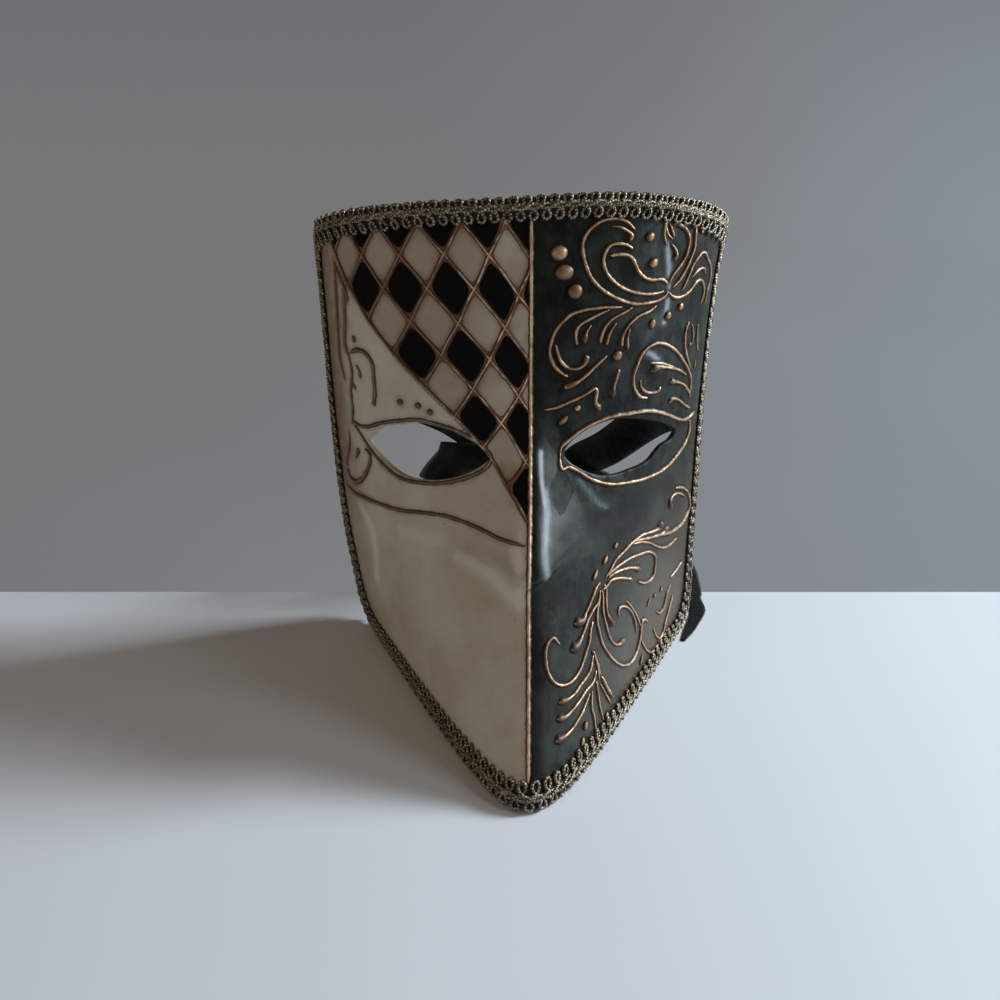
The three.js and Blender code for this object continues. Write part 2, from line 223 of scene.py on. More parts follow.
# The form's own origin is the tip of the jaw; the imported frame's is under the middle of the whole part
cad_low, cad_high = (np.array(c) * 1000 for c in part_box("mask_shell"))
edge_s, edge_z = rim_place(np.array([-1.0] * 60 + [1.0] * 60), np.tile(np.linspace(0, 1, 60), 2), RIM_INSET)
edge = form(edge_s, edge_z)
SHIFT = np.array(
    [
        ((cad_low[0] - edge[:, 0].min()) + (cad_high[0] - edge[:, 0].max())) / 2,
        cad_low[1] - form(*rim_place(0.0, 0.0, RIM_INSET))[1],
        0.0,
    ]
)


def to_scene(points):
    return (np.asarray(points) + SHIFT) / 1000


# ---------------------------------------------------------------- the camera
EYE = np.array([-11.9, -327.5, 345.0])
PITCH = math.radians(30)
FOCAL = 1072.0
SENSOR = 36


def new_object(name, data):
    thing = bpy.data.objects.new(name, data)
    bpy.context.scene.collection.objects.link(thing)
    return thing


lens = bpy.data.cameras.new("camera")
lens.sensor_width = SENSOR
lens.lens = FOCAL / 1000 * SENSOR
camera = new_object("camera", lens)
camera.location = to_scene(EYE)
camera.rotation_euler = (math.pi / 2 - PITCH, 0, 0)
bpy.context.scene.camera = camera


def sight(pixels):
    """Directions from the camera through pixels of a 1000 by 1000 frame."""
    p = np.asarray(pixels, float) - 500
    right = np.array([1.0, 0, 0])
    ahead = np.array([0, math.cos(PITCH), -math.sin(PITCH)])
    up = np.array([0, math.sin(PITCH), math.cos(PITCH)])
    d = FOCAL * ahead + p[:, :1] * right - p[:, 1:] * up
    return unit(d)


# ---------------------------------------------------------------- meshes
def add_field(mesh, name, values):
    """Keeps a number, or three, for each point of the mesh."""
    values = np.asarray(values, np.float32)
    three = values.ndim == 2
    field = mesh.attributes.new(name, "FLOAT_VECTOR" if three else "FLOAT", "POINT")
    field.data.foreach_set("vector" if three else "value", values.ravel())


def mesh_object(name, points, faces, fields):
    mesh = bpy.data.meshes.new(name)
    mesh.from_pydata(to_scene(points).tolist(), [], faces)
    mesh.update()
    mesh.shade_smooth()
    for key, values in fields.items():
        add_field(mesh, key, values)
    piece = new_object(name, mesh)
    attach(piece, "root")
    return piece


def grid_faces(rows, columns):
    return [
        (j * columns + i, j * columns + i + 1, (j + 1) * columns + i + 1, (j + 1) * columns + i)
        for j in range(rows - 1)
        for i in range(columns - 1)
    ]


def tube_faces(rings, size):
    """A closed tube of rings, with a face over each end."""
    faces = []
    for r in range(rings - 1):
        a, b = r * size, (r + 1) * size
        for k in range(size):
            m = (k + 1) % size
            faces.append((a + k, a + m, b + m, b + k))
    faces.append(tuple(reversed(range(size))))
    faces.append(tuple((rings - 1) * size + k for k in range(size)))
    return faces


def facing_out(points, faces):
    """Turns the faces round if the closed mesh has its faces inwards."""
    volume = 0.0
    for f in faces:
        for k in range(1, len(f) - 1):
            volume += np.dot(points[f[0]], np.cross(points[f[k]], points[f[k + 1]]))
    return faces if volume > 0 else [tuple(reversed(f)) for f in faces]


# ---------------------------------------------------------------- node trees
def fill(tree, node, sockets):
    """Gives a node's sockets values or links, by name or place."""
    for key, value in sockets.items():
        socket = node.inputs[key]
        if isinstance(value, Wire):
            tree.links.new(value.socket, socket)
        elif isinstance(value, bpy.types.NodeSocket):
            tree.links.new(value, socket)
        else:
            socket.default_value = value


def put(tree, kind, settings=None, sockets=None):
    """Adds a node: its settings first, then values or links for its sockets, by name or place."""
    node = tree.nodes.new(kind)
    for key, value in (settings or {}).items():
        setattr(node, key, value)
    fill(tree, node, sockets or {})
    return node


class Wire:
    """A socket in a material; arithmetic on it adds Math nodes."""

    def __init__(self, tree, socket):
        self.tree, self.socket = tree, socket

    def maths(self, operation, *values):
        node = put(self.tree, "ShaderNodeMath", {"operation": operation}, dict(enumerate(values)))
        return Wire(self.tree, node.outputs[0])

    def __add__(self, other):
        return self.maths("ADD", self, other)

    __radd__ = __add__

    def __sub__(self, other):
        return self.maths("SUBTRACT", self, other)

    def __rsub__(self, other):
        return self.maths("SUBTRACT", other, self)

    def __mul__(self, other):
        return self.maths("MULTIPLY", self, other)

    __rmul__ = __mul__

    def __truediv__(self, other):
        return self.maths("DIVIDE", self, other)

    def __pow__(self, other):
        return self.maths("POWER", self, other)

    def size(self):
        return self.maths("ABSOLUTE", self)

    def sine(self):
        return self.maths("SINE", self)

    def least(self, other):
        return self.maths("MINIMUM", self, other)

    def floor(self):
        return self.maths("FLOOR", self)

    def step(self, low, high):
        """0 below low and 1 above high, smooth between."""
        node = put(
            self.tree,
            "ShaderNodeMapRange",
            {"interpolation_type": "SMOOTHSTEP"},
            {"Value": self, "From Min": low, "From Max": high},
        )
        return Wire(self.tree, node.outputs[0])


def tone(red, green, blue):
    """A colour as it is seen, 0 to 255, as light."""
    return tuple(((c / 255 + 0.055) / 1.055) ** 2.4 if c > 10 else c / 255 / 12.92 for c in (red, green, blue)) + (1.0,)


class Finish:
    """A material in the making."""

    def __init__(self, name):
        self.material = bpy.data.materials.new(name)
        self.material.use_nodes = True
        self.tree = self.material.node_tree
        self.shader = self.tree.nodes["Principled BSDF"]
        coordinates = put(self.tree, "ShaderNodeTexCoord")
        self.place = Wire(self.tree, coordinates.outputs["Object"])

    def field(self, name):
        node = put(self.tree, "ShaderNodeAttribute", {"attribute_name": name})
        return Wire(self.tree, node.outputs["Fac"])

    def fields(self, name):
        node = put(self.tree, "ShaderNodeAttribute", {"attribute_name": name})
        return self.split(Wire(self.tree, node.outputs["Vector"]))

    def split(self, vector):
        node = put(self.tree, "ShaderNodeSeparateXYZ", sockets={0: vector})
        return [Wire(self.tree, socket) for socket in node.outputs]

    def join(self, x, y, z):
        node = put(self.tree, "ShaderNodeCombineXYZ", sockets={0: x, 1: y, 2: z})
        return Wire(self.tree, node.outputs[0])

    def cloud(self, size, detail=2.0, rough=0.5, at=None, shift=0.0):
        """Noise with features of about this many millimetres."""
        where = at or self.place
        if shift:
            moved = put(self.tree, "ShaderNodeVectorMath", {"operation": "ADD"}, {0: where, 1: (shift, shift / 2, 0)})
            where = Wire(self.tree, moved.outputs[0])
        unit = 1000.0 if at is None else 1.0
        node = put(
            self.tree,
            "ShaderNodeTexNoise",
            {"noise_dimensions": "3D"},
            {"Vector": where, "Scale": unit / size, "Detail": detail, "Roughness": rough},
        )
        return Wire(self.tree, node.outputs["Fac"])

    def mix(self, factor, first, second):
        node = put(self.tree, "ShaderNodeMix", {"data_type": "RGBA"}, {0: factor, 6: first, 7: second})
        return Wire(self.tree, node.outputs[2])

    def bump(self, height, depth, under=None):
        """Height from 0 to 1 over this many millimetres."""
        sockets = {"Height": height, "Distance": depth / 1000, "Strength": 1.0}
        if under:
            sockets["Normal"] = under
        node = put(self.tree, "ShaderNodeBump", sockets=sockets)
        return Wire(self.tree, node.outputs[0])

    def done(self, colour, roughness, metallic=0.0, normal=None, **rest):
        values = {"Base Color": colour, "Roughness": roughness, "Metallic": metallic}
        if normal:
            values["Normal"] = normal
        values.update({key.replace("_", " "): value for key, value in rest.items()})
        fill(self.tree, self.shader, values)
        return self.material


# ---------------------------------------------------------------- the casting of pixels on to the form
def gathered(s):
    a = np.abs(s)
    return np.sign(s) * (a - 0.5 * np.sin(2 * math.pi * a) / (2 * math.pi))


COLUMNS, ROWS = 237, 191
grid_share = gathered(np.linspace(-1, 1, COLUMNS))
grid_s, grid_z = rim_place(grid_share[None, :], np.linspace(0, 1, ROWS)[:, None], RIM_INSET)
grid_s, grid_z = grid_s.ravel(), grid_z.ravel()
FACES = grid_faces(ROWS, COLUMNS)
blank = form(grid_s, grid_z)
tree = BVHTree.FromPolygons(blank.tolist(), FACES)


def cast(pixels):
    """Where lines of sight through these pixels meet the face, as distances along and heights."""
    pixels = np.asarray(pixels, float)
    hits, guess = [], []
    middle = np.array([528.0, 480.0])
    for pixel in pixels:
        for _ in range(40):
            where, _, index, _ = tree.ray_cast(Vector(EYE), Vector(sight(pixel[None])[0]))
            if where is not None:
                break
            pixel = pixel + 0.5 * (middle - pixel) / np.linalg.norm(middle - pixel)
        hits.append(where)
        guess.append(FACES[index][0])
    return settle(np.array(hits, float), grid_s[guess], grid_z[guess])


def spans_of(four):
    """The spans between four points, as a centripetal curve counts them."""
    return [max(np.linalg.norm(b - a), 1e-4) ** 0.5 for a, b in zip(four, four[1:])]


def curve_point(four, spans, t):
    """The point at t between the middle two of four points, on a smooth curve through them."""
    p0, p1, p2, p3 = four
    t0, t1, t2 = spans
    m1 = ((p1 - p0) / t0 - (p2 - p0) / (t0 + t1) + (p2 - p1) / t1) * t1
    m2 = ((p2 - p1) / t1 - (p3 - p1) / (t1 + t2) + (p3 - p2) / t2) * t1
    return (
        (2 * t**3 - 3 * t**2 + 1) * p1 + (t**3 - 2 * t**2 + t) * m1
        + (3 * t**2 - 2 * t**3) * p2 + (t**3 - t**2) * m2
    )


def with_ends(points):
    """A path with one more point past each end."""
    return np.concatenate([2 * points[:1] - points[1:2], points, 2 * points[-1:] - points[-2:-1]])


def spline(points, step, closed=False):
    """A curve through points, resampled to even steps."""
    p = np.asarray(points, float)
    p = np.concatenate([p[-1:], p, p[:2]]) if closed else with_ends(p)
    dense = []
    for k in range(1, len(p) - 2):
        four = p[k - 1 : k + 3]
        spans = spans_of(four)
        dense += [curve_point(four, spans, t) for t in np.linspace(0, 1, 12, endpoint=False)]
    return resample(np.array(dense + [p[-2]]), step)


def resample(points, step):
    run = run_of(points)
    return at_run(points, run, np.linspace(0, run[-1], max(2, int(round(run[-1] / step)) + 1)))


def pixels_of(text):
    return [tuple(float(v) for v in pair.split(",")) for pair in text.split()]


# ---------------------------------------------------------------- eye openings, as seen from the camera
LEFT_EYE = pixels_of(
    "369,440 371,437 375,433 382,428 392,426 405,425 418,423.5 432,426 450,431 462.5,437 475,444 485,452 489.5,457.5"
    " 484,463 474,469.5 462,474.5 448,478 434,479.5 421,479 408,476.3 397,471 386,462 377,451.5"
)
RIGHT_EYE = pixels_of(
    "566,450 572.5,441.3 580,435 592.5,427.5 605,422.5 617.5,419.4 633.8,419.5 648.8,421 661.3,423 668.8,425.8"
    " 675.5,431 671.3,438.8 662.5,444.5 656.3,451.3"
    " 650,458.8 642.5,463.8 630,468.5 620,472 609,474 600,474.3 592.5,472.5"
    " 582.5,468.5 571.3,461.8 566,455"
)


def outline_on_form(pixels):
    s, z = cast(spline(pixels, 1.0, closed=True)[:-1])
    return resample(np.stack([s, z], -1)[list(range(len(s))) + [0]], 0.5)[:-1]


eye_outlines = [outline_on_form(LEFT_EYE), outline_on_form(RIGHT_EYE)]


def signed_distance(points, loop):
    """Distance to a closed outline in the plane, negative inside, and the nearest outline point."""
    a, b = loop, np.roll(loop, -1, axis=0)
    d = b - a
    t = ((points[:, None] - a) * d).sum(-1) / (d * d).sum(-1)
    near = a + np.clip(t, 0, 1)[..., None] * d
    gap = np.linalg.norm(points[:, None] - near, axis=-1)
    k = gap.argmin(1)
    rows = np.arange(len(points))
    x, y = points[:, 0], points[:, 1]
    cross = (a[:, 1] > y[:, None]) != (b[:, 1] > y[:, None])
    at = a[:, 0] + (y[:, None] - a[:, 1]) * d[:, 0] / np.where(d[:, 1] == 0, 1e-9, d[:, 1])
    inside = (cross & (x[:, None] < at)).sum(1) % 2 == 1
    return np.where(inside, -1, 1) * gap[rows, k], near[rows, k]


ROLL = 1.1  # radius to which the paper is rounded over at an eye opening
# The rings of that rounding: share of the radius inwards, depth, and how far each belongs to the lining
EYE_ROLL = ((0.42, 0.1, 0), (0.78, 0.36, 0), (0.96, 0.74, 0), (1, 1.15, 0), (1, WALL - 0.5, 0.4), (0.62, WALL, 0.9))


def cut_grid(s, z, faces, outlines):
    """Snaps a grid to the outlines, a little outside them, and drops what is inside."""
    flat = np.stack([s, z], -1)
    gap = np.full(len(s), 99.0)
    inward = np.zeros_like(flat)
    for loop in outlines:
        low, high = loop.min(0) - 5, loop.max(0) + 5
        close = np.nonzero(((flat > low) & (flat < high)).all(1))[0]
        d, near = signed_distance(flat[close], loop)
        gap[close] = d - ROLL
        inward[close] = (near - flat[close]) / np.where(np.abs(d) < 1e-6, 1e-6, d)[:, None]
    snap = np.abs(gap) < 0.45
    edges = {(min(a, b), max(a, b)) for f in faces for a, b in zip(f, f[1:] + f[:1])}
    for a, b in edges:
        if gap[a] * gap[b] < 0 and not (snap[a] or snap[b]):
            snap[a if abs(gap[a]) < abs(gap[b]) else b] = True
    flat[snap] += inward[snap] * gap[snap][:, None]
    gap[snap] = 0
    kept = []
    for face in faces:
        g = [gap[v] for v in face]
        if min(g) >= 0 and max(g) > 0:
            kept.append(face)
        elif max(g) > 0:
            for k in range(4):
                if g[k] > 0 and g[k - 1] == 0 and g[(k + 1) % 4] == 0:
                    kept.append((face[k - 1], face[k], face[(k + 1) % 4]))
    return flat[:, 0], flat[:, 1], gap, inward, kept


def boundary_edges(faces):
    """Edges used by one face, each as (start, end) in that face's order."""
    used = {(a, b) for f in faces for a, b in zip(f, f[1:] + f[:1])}
    return [(a, b) for (a, b) in used if (b, a) not in used]


skin_s, skin_z, eye_gap, inward, kept = cut_grid(grid_s, grid_z, FACES, eye_outlines)
used = np.unique(np.concatenate([np.array(f) for f in kept]))
index = np.full(len(skin_s), -1)
index[used] = np.arange(len(used))
kept = [tuple(int(index[v]) for v in f) for f in kept]
skin_s, skin_z, eye_gap, inward = skin_s[used], skin_z[used], eye_gap[used], inward[used]
outer, normal, along, upward = form_frame(skin_s, skin_z)
count = len(outer)
points, depth = [outer, outer - WALL * normal], [np.zeros(count), np.ones(count)]
faces = kept + [tuple(v + count for v in reversed(f)) for f in kept]
rim = sorted(boundary_edges(kept))
eye_rim = sorted({v for e in rim for v in e if eye_gap[v] == 0})
place = {v: k for k, v in enumerate(eye_rim)}
into = along[eye_rim] * inward[eye_rim][:, :1] + upward[eye_rim] * inward[eye_rim][:, 1:]
into = unit(into)
rings = [np.array(eye_rim)]
top = 2 * count
for sideways, down, lining in EYE_ROLL:
    points.append(outer[eye_rim] + ROLL * sideways * into - down * (ROLL if down < 1 else 1) * normal[eye_rim])
    depth.append(np.full(len(eye_rim), float(lining)))
    rings.append(np.arange(len(eye_rim)) + top)
    top += len(eye_rim)
rings.append(np.array(eye_rim) + count)
for a, b in rim:
    if a in place and b in place:
        for r0, r1 in zip(rings, rings[1:]):
            faces.append((int(r0[place[b]]), int(r0[place[a]]), int(r1[place[a]]), int(r1[place[b]])))
    else:
        faces.append((b, a, a + count, b + count))
flat_place = np.stack([skin_s, skin_z], -1)
skin_place = np.concatenate([flat_place] * 2 + [flat_place[eye_rim]] * len(EYE_ROLL))
skin_points, skin_depth = np.concatenate(points), np.concatenate(depth)

skin = mesh_object(
    "painted_paper_shell",
    skin_points,
    faces,
    {"spot": np.concatenate([skin_place, skin_depth[:, None]], 1)},
)
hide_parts("mask_shell")


# ---------------------------------------------------------------- relief lines, as seen from the camera
# Each line: width, radius of the bulb at its start, radius of the bulb at its end, and its way, in pixels
RIGHT_LINES = """
3.3 0 0 635,230 632.5,227 627.5,222 620,219 611,218.5 602.5,220.6 594,225.6 587,233 583,241 582.3,249 584,259
    587,269 592,279 598,286 606,292.5 616,298 626,302 635,304 646,303 656,301 665,296 668,291
2.6 0 3 612,226.3 620,227 626,230 632,235 630,240.5
3.2 0 0 633,249 627.5,245 620,243.5 611,245 606,250.6 603.5,259 604,266 607.5,274.4 614,282 622.5,288 632.5,292
    644,294 655,293.5 664,291
3.4 2.6 0 610,255.6 620,254.4 627.5,255 632.5,259 635.6,265 638,271 644,277.5 652.5,280 662,279 668,284
3 0 0 665.6,216.3 665,225 664,235 666.3,245
3 0 0 671.3,217.5 665.6,224 667.5,234 673,239.4
3 0 2 669.4,222.5 672,230 673.8,237.5
3.2 3 0 678,224.5 683,226 687,231 689,238 688,247.5 684,259 676.3,270 672.5,275 669,283
3 0 3.2 671.3,244 675.5,249 676.5,254 674,260
3.2 0 0 694.4,217 695.6,224 695,236.3 694,247.5 690,259 685,270 679,280 672.5,287.5
3 0 0 681.3,291.3 687.5,277.5 692,266.3 697.5,257.5 703.8,251.3 707.5,259 710,267.5 709,280 706,292 704,304
3 0 0 691.3,277.5 697.5,270 703.8,267.5 705,275
3.2 0 0 668,292 673,297 678,297.5 684,295 690,290 695,282.5 700,279 703,285 702.5,295 700,304
3.3 0 3 622.5,307 614,307.3 605,307.3 594,308.5 581.3,310.6 570,315 564,320.6 557.5,327.5 553,336.3 550.6,345
    549.5,352 551,359 554.5,366
3.6 0 0 549.5,357 552.5,364 560,372 568,377
3.2 0 3.6 555.6,344 557.5,352.5 560.6,361.3 566.3,367 574,369 581.3,367 586.5,361 586,355
3 0 2 610,309.4 601.3,313 592.5,317.5 584,322 577.5,327.5 575.6,335 577,345
2.8 0 3.4 591.3,325 587,331.3 585,338 584.5,343
3 0 2 632.5,307 626.3,311.3 617.5,315.6 610,320.6 604,328.8 601.3,336.3 600,343
2.8 0 2.6 616.3,323 611.3,330 608,337.5 606.3,345
3 0 1.8 656.3,305.6 649,311.3 640,315 632.5,320.6 626.3,328 622.5,336.3 621.5,346.3
2.8 0 2.3 630,329 627.5,337.5 627.5,349
3.4 0 5 607,355.6 596.3,365 586.3,375 576.3,382.5 564,387.5
2.8 2.4 4.4 619,369 617.5,375 615,382.5 612.5,391.3 612.5,397
3.3 0 0 647.5,397.5 641.3,397.5 637.5,394.4 634,387.5 633,379 635,370 638,362.5 642.5,352.5 649,346.3 657.5,343
    667.5,345 676.3,351.3 682.5,360 687.5,369 690,377.5 689.4,394
3 5.4 0 650.6,371 658.8,367 668,367.5 679,370 686.3,375
2.8 0 0 650,363 660,363 670,366 679,370
2.8 4 0 669.4,381.3 677.5,382 684,385 689,391.3
3 0 3 640.6,380 640,385 644,391.3 651.3,393 657.5,390.6 660,386.3
3 0 0 688.8,321.3 685.6,329 684.4,339 685,350 687.5,360 690,369
3 0 0 692,324 692.5,335 692,345
3 0 0 697.5,324 696.3,336.3 697,351
2.8 0 0 685,387.5 689,392.5 690,397.5
2.8 3.4 0 668,402.5 672,398.5 677.5,399 681.3,402.5 686.3,406.3 690,408
3.2 0 4 544.4,410 555,408 562.5,405 572.5,400.6 584,395 592.5,389.4 596,387.5 597,392.5 595.5,399 596,405
    600,410
3.6 0 0 560,455 560.6,447 565,443 570,439 577.5,432.5 586.3,427 596.3,422 607.5,417.5 617.5,415 627.5,413.8
    637.5,412 646.3,410.8 656.3,411.5 666.3,414.4 674,417.5 681.3,420 686.3,419 691.3,414 694.4,410.6
3.6 0 0 560,452 559.4,460 560,467 563,470.6 566.3,466.5 572.5,468.5 580,472.5 587.5,477.5 596.3,481.3 607.5,484
    617.5,484 630,482 640,480 650,476.3 660,471.3 669,464 676.3,455 682.5,446.3 687,436.3 689,426.3 689,420
3.4 0 0 675,488 681.3,487 687.5,492.5 689,505 685,517.5 680,525 670,532.5 660,534.4 649,538
3 0 4.2 684,496 679,492.8 674,494 669.5,501 670.5,508
3 5 0 661,521 659,528 649,532.5 642.5,534.4 636.3,539 630,544 622.5,552.5 615,560 612,566.3 605,578
3 4.2 0 667.5,526.3 662,533.8 655,536
3 0 0 680,524 671.3,531.3 661.3,534 650,537.5 642.5,539 634,541.3
3 0 0 676.3,537.5 670,544 664,547.5 656.3,546.3 649,542.5 640,542 632.5,544
3 0 2 607,576 611.3,571.3 620,564.4 630,558 640,554 649,551.3 654,554 655,560 654.4,567.5 652.5,576.3 649,581
    643.8,583 637.5,581.3
3 0 4 608,578 614,573 622.5,569.4 631.3,567.5 639.5,569
3 0 2.8 602,590 606.3,586.3 610,580.6 617.5,578 625,578 631.3,579
2.8 0 0 670,577.5 677.5,567.5 681.3,561.3
3.2 0 6 600,582 595.6,588 592.5,596.3 589,605 585,614 582.5,621 574,623.5
3.2 0 6 600,590 598,602 592.5,610 587.5,620 584,630 580,640 576.3,646.3 570.6,650
3.2 0 0 592.5,621 590,631 589,641 586,651 582.5,662.5 580,669 575,677.5 570,682.5 562.5,685.6 556,684 550,677.5
    547,669 545.6,660 546,647.5 550,639.5 553.5,637 556,640.5 560,645
3.2 0 0 600,592 597.5,606 596.5,620 599,632.5 602.5,645 609,655 616,662.5 622.5,665.6 630,663 635,655 638,645
    640,635 640.6,626 642,619.5 644.5,618.5 647.5,622.5
3 0 4.2 602,590 602.5,600 602.5,611 605,622.5 607.5,632.5 611,641 616,645 621,643 623,638
3 0 5 604,584 606,590 605.6,597.5 606,607.5 608,617 613,625
3 0 0 619,617 617.5,610.5 621,606 627.5,607.5 632.5,615 635,624 636,632.5
2.8 0 0 626,600.6 632.5,609 637.5,619 640,626
2.8 0 0 670,584 665.6,596 663,607.5 659,614 656,611
2.8 0 0 672.5,594 668,610 664,625 662.5,632.5 659,639 655,635 653,627.5
2.8 0 0 669,630 665,640 660,649 652.5,654 646,650 642.5,644 640,638
2.8 2.8 0 592,650.6 595,657.5 597.5,669 599,680
3 4.6 0 558.5,702.5 566,700 574,694 580,685 587.5,675 590,669 593,655
3 4.8 0 556.5,719 564,717.5 571,711 579,701 586,690 592.5,682.5 596,670
3 5.2 0 555,741.5 562.5,737.5 570,731 576,722.5 582.5,711 585,704 590,692
3 0 0 592,691 591,706 594,719 595,730 598,737.5
3 0 0 596,681 597.5,694 600,710 604,722.5
4.6 0 0 601,676 607.5,690 612.5,697.5
3 0 0 600,684 606,696 610.6,704
2.8 0 0 597.5,662.5 600,675
"""
# Each dome: half-width, half-height, tilt in degrees, and its middle, in pixels
RIGHT_DOMES = """
8.5 8 0 559,253
9.5 8 0 564,272.5
7.6 7.6 0 574.8,291.3
5 5 0 649.8,237
5.3 5 0 653,263
2.5 2.5 0 702,231.6
2.5 2.5 0 708,233
4 4 0 680,306.3
4.5 4.2 0 667.5,315.6
4 5 0 652,323.8
5.5 5.2 0 617,355.6
3.6 3.4 0 577.3,408
6 3.2 40 563,420.6
2.4 2.4 0 689.6,344.4
2 4.6 0 694.4,364.4
3.6 3.4 0 615.3,545.6
3.2 4.8 -30 604.8,560
3.2 5.6 -25 594.8,575
2.5 2.5 0 660.6,589
2.5 2.5 0 654,595.6
2.2 4.6 -20 648,602.5
3 5.6 -10 640.6,660
3.8 5 35 606,716
4 5 35 585,725.6
4 4 0 577,757.5
3.6 5 0 582,742
"""
LEFT_LINES = """
3 0 1.6 350.6,352.5 355,350 360,350 367.5,355 372.5,365 374,380 375,394 374,402
2.6 0 2.6 356,365 358.8,369 360.4,378
2.4 0 2 353.8,382.5 356,390
2.4 0 2 350,395 352.5,401
3 0 0 343,286 344.5,300 345,320 345,345 349,356
2.6 0 0 334.5,268 335.5,285 337,310 338.5,335 340,357 345,380
2.8 0 0 334,262 337,270 341,280 345,290 347,298 345,305
2.8 0 0 349,356 352,372 351,392 353,410 352,424
3 0 0 347.5,467.5 351,477.5 356.3,482 362.5,479 367.5,470 370.6,460 369,452.5 365,449
2.6 3.2 0 359,449 357.5,454 355.6,458
2.6 0 0 349,431 350,441 348,455 347.5,466
2.3 0 0 352,420 361,426 369,426.5 379,423.3 390,421.5 400,420.5 415,419.5 425,421 437,424 450,428 462.5,433.5
    475,440.5 486,449.5 492,456.5 488,466 475,474.5 462.5,479 450,482 435,483.5 420,482.5 407.5,480.5 395,474.5
    384,465 374.5,454.5 366.5,443.5 359.5,432 354,424.5
2.2 0 0 347,484 350,487.5 355,492.5 366,498 380,503.8 400,510 422,512.5 446,516 474,526 502,539.5 525,546.5
"""
LEFT_DOMES = """
2.6 3.8 0 354,339
2.4 3.6 0 374,403
3.6 2.8 10 400,402
3.8 3 12 418,405.6
3.6 3 20 430,412
"""
KEEL_LINE = """
4.4 0 0 531.3,214 531.3,300 530.8,380 530.3,450 529.8,520 529.3,560 528.8,586 528.6,600 528.6,660 528.4,720
    528.2,790
"""
PIXEL = 0.46  # millimetres across the line of sight to a pixel, at the mask
BRAID_MARGIN = RIM_INSET + BRAID_REACH - 1.2


def held_in(s, z):
    """Keeps places inside the inner edge of the braid."""
    z = np.clip(z, BRAID_MARGIN, None)
    for side in (-1, 1):
        limit = side_length(side, z) - BRAID_MARGIN
        s = np.minimum(s, limit) if side > 0 else np.maximum(s, -limit)
    share = s / level_length(s, z)
    z = np.clip(z, jaw_line(share) + BRAID_MARGIN, crown_line(share) - BRAID_MARGIN)
    return s, z


def eased(values, rounds):
    """Evens out a path a little, with its ends held."""
    for _ in range(rounds):
        values = np.concatenate([values[:1], (values[:-2] + 2 * values[1:-1] + values[2:]) / 4, values[-1:]])
    return values


def on_form(ways):
    """Paths on the face, as places at even steps, from paths in pixels."""
    dense = [spline(way, 1.6) for way in ways]
    s, z = cast(np.concatenate(dense))
    found, at = [], 0
    for way in dense:
        place = eased(np.stack(held_in(s[at : at + len(way)], z[at : at + len(way)]), -1), 3)
        at += len(way)
        found.append(place)
    return found


def even(place, step):
    """A path of places resampled to even steps over the face."""
    run = run_of(form(place[:, 0], place[:, 1]))
    return at_run(place, run, np.linspace(0, run[-1], max(4, int(run[-1] / step) + 1))), run[-1]


# Half a raised line's section, mirrored: how far out from its middle and how high
FLANK = [(1, -0.45), (1, 0.02), (0.74, 0.28), (0.42, 0.78)]
BEAD = np.array([(-x, y) for x, y in FLANK] + [(0, 1)] + FLANK[::-1])


# A dome's section: how far out and how high
DOME = ((0, -0.5), (1, -0.5), (1, 0.05), (0.96, 0.33), (0.85, 0.58), (0.64, 0.82), (0.36, 0.96), (0.1, 1), (0, 1))


class Gathered:
    """Closed tubes gathered into one mesh, with a value for each of their points."""

    def __init__(self):
        self.points, self.faces, self.values, self.ways, self.count = [], [], [], [], 0

    def add(self, rings, values):
        flat = rings.reshape(-1, 3)
        faces = facing_out(flat, tube_faces(*rings.shape[:2]))
        self.faces += [tuple(v + self.count for v in f) for f in faces]
        self.points.append(flat)
        self.values.append(values.reshape(len(flat), *values.shape[2:]))
        self.count += len(flat)

    def finish(self, name, slot, field):
        return mesh_object(name, np.concatenate(self.points), self.faces, {field: np.concatenate(self.values)})


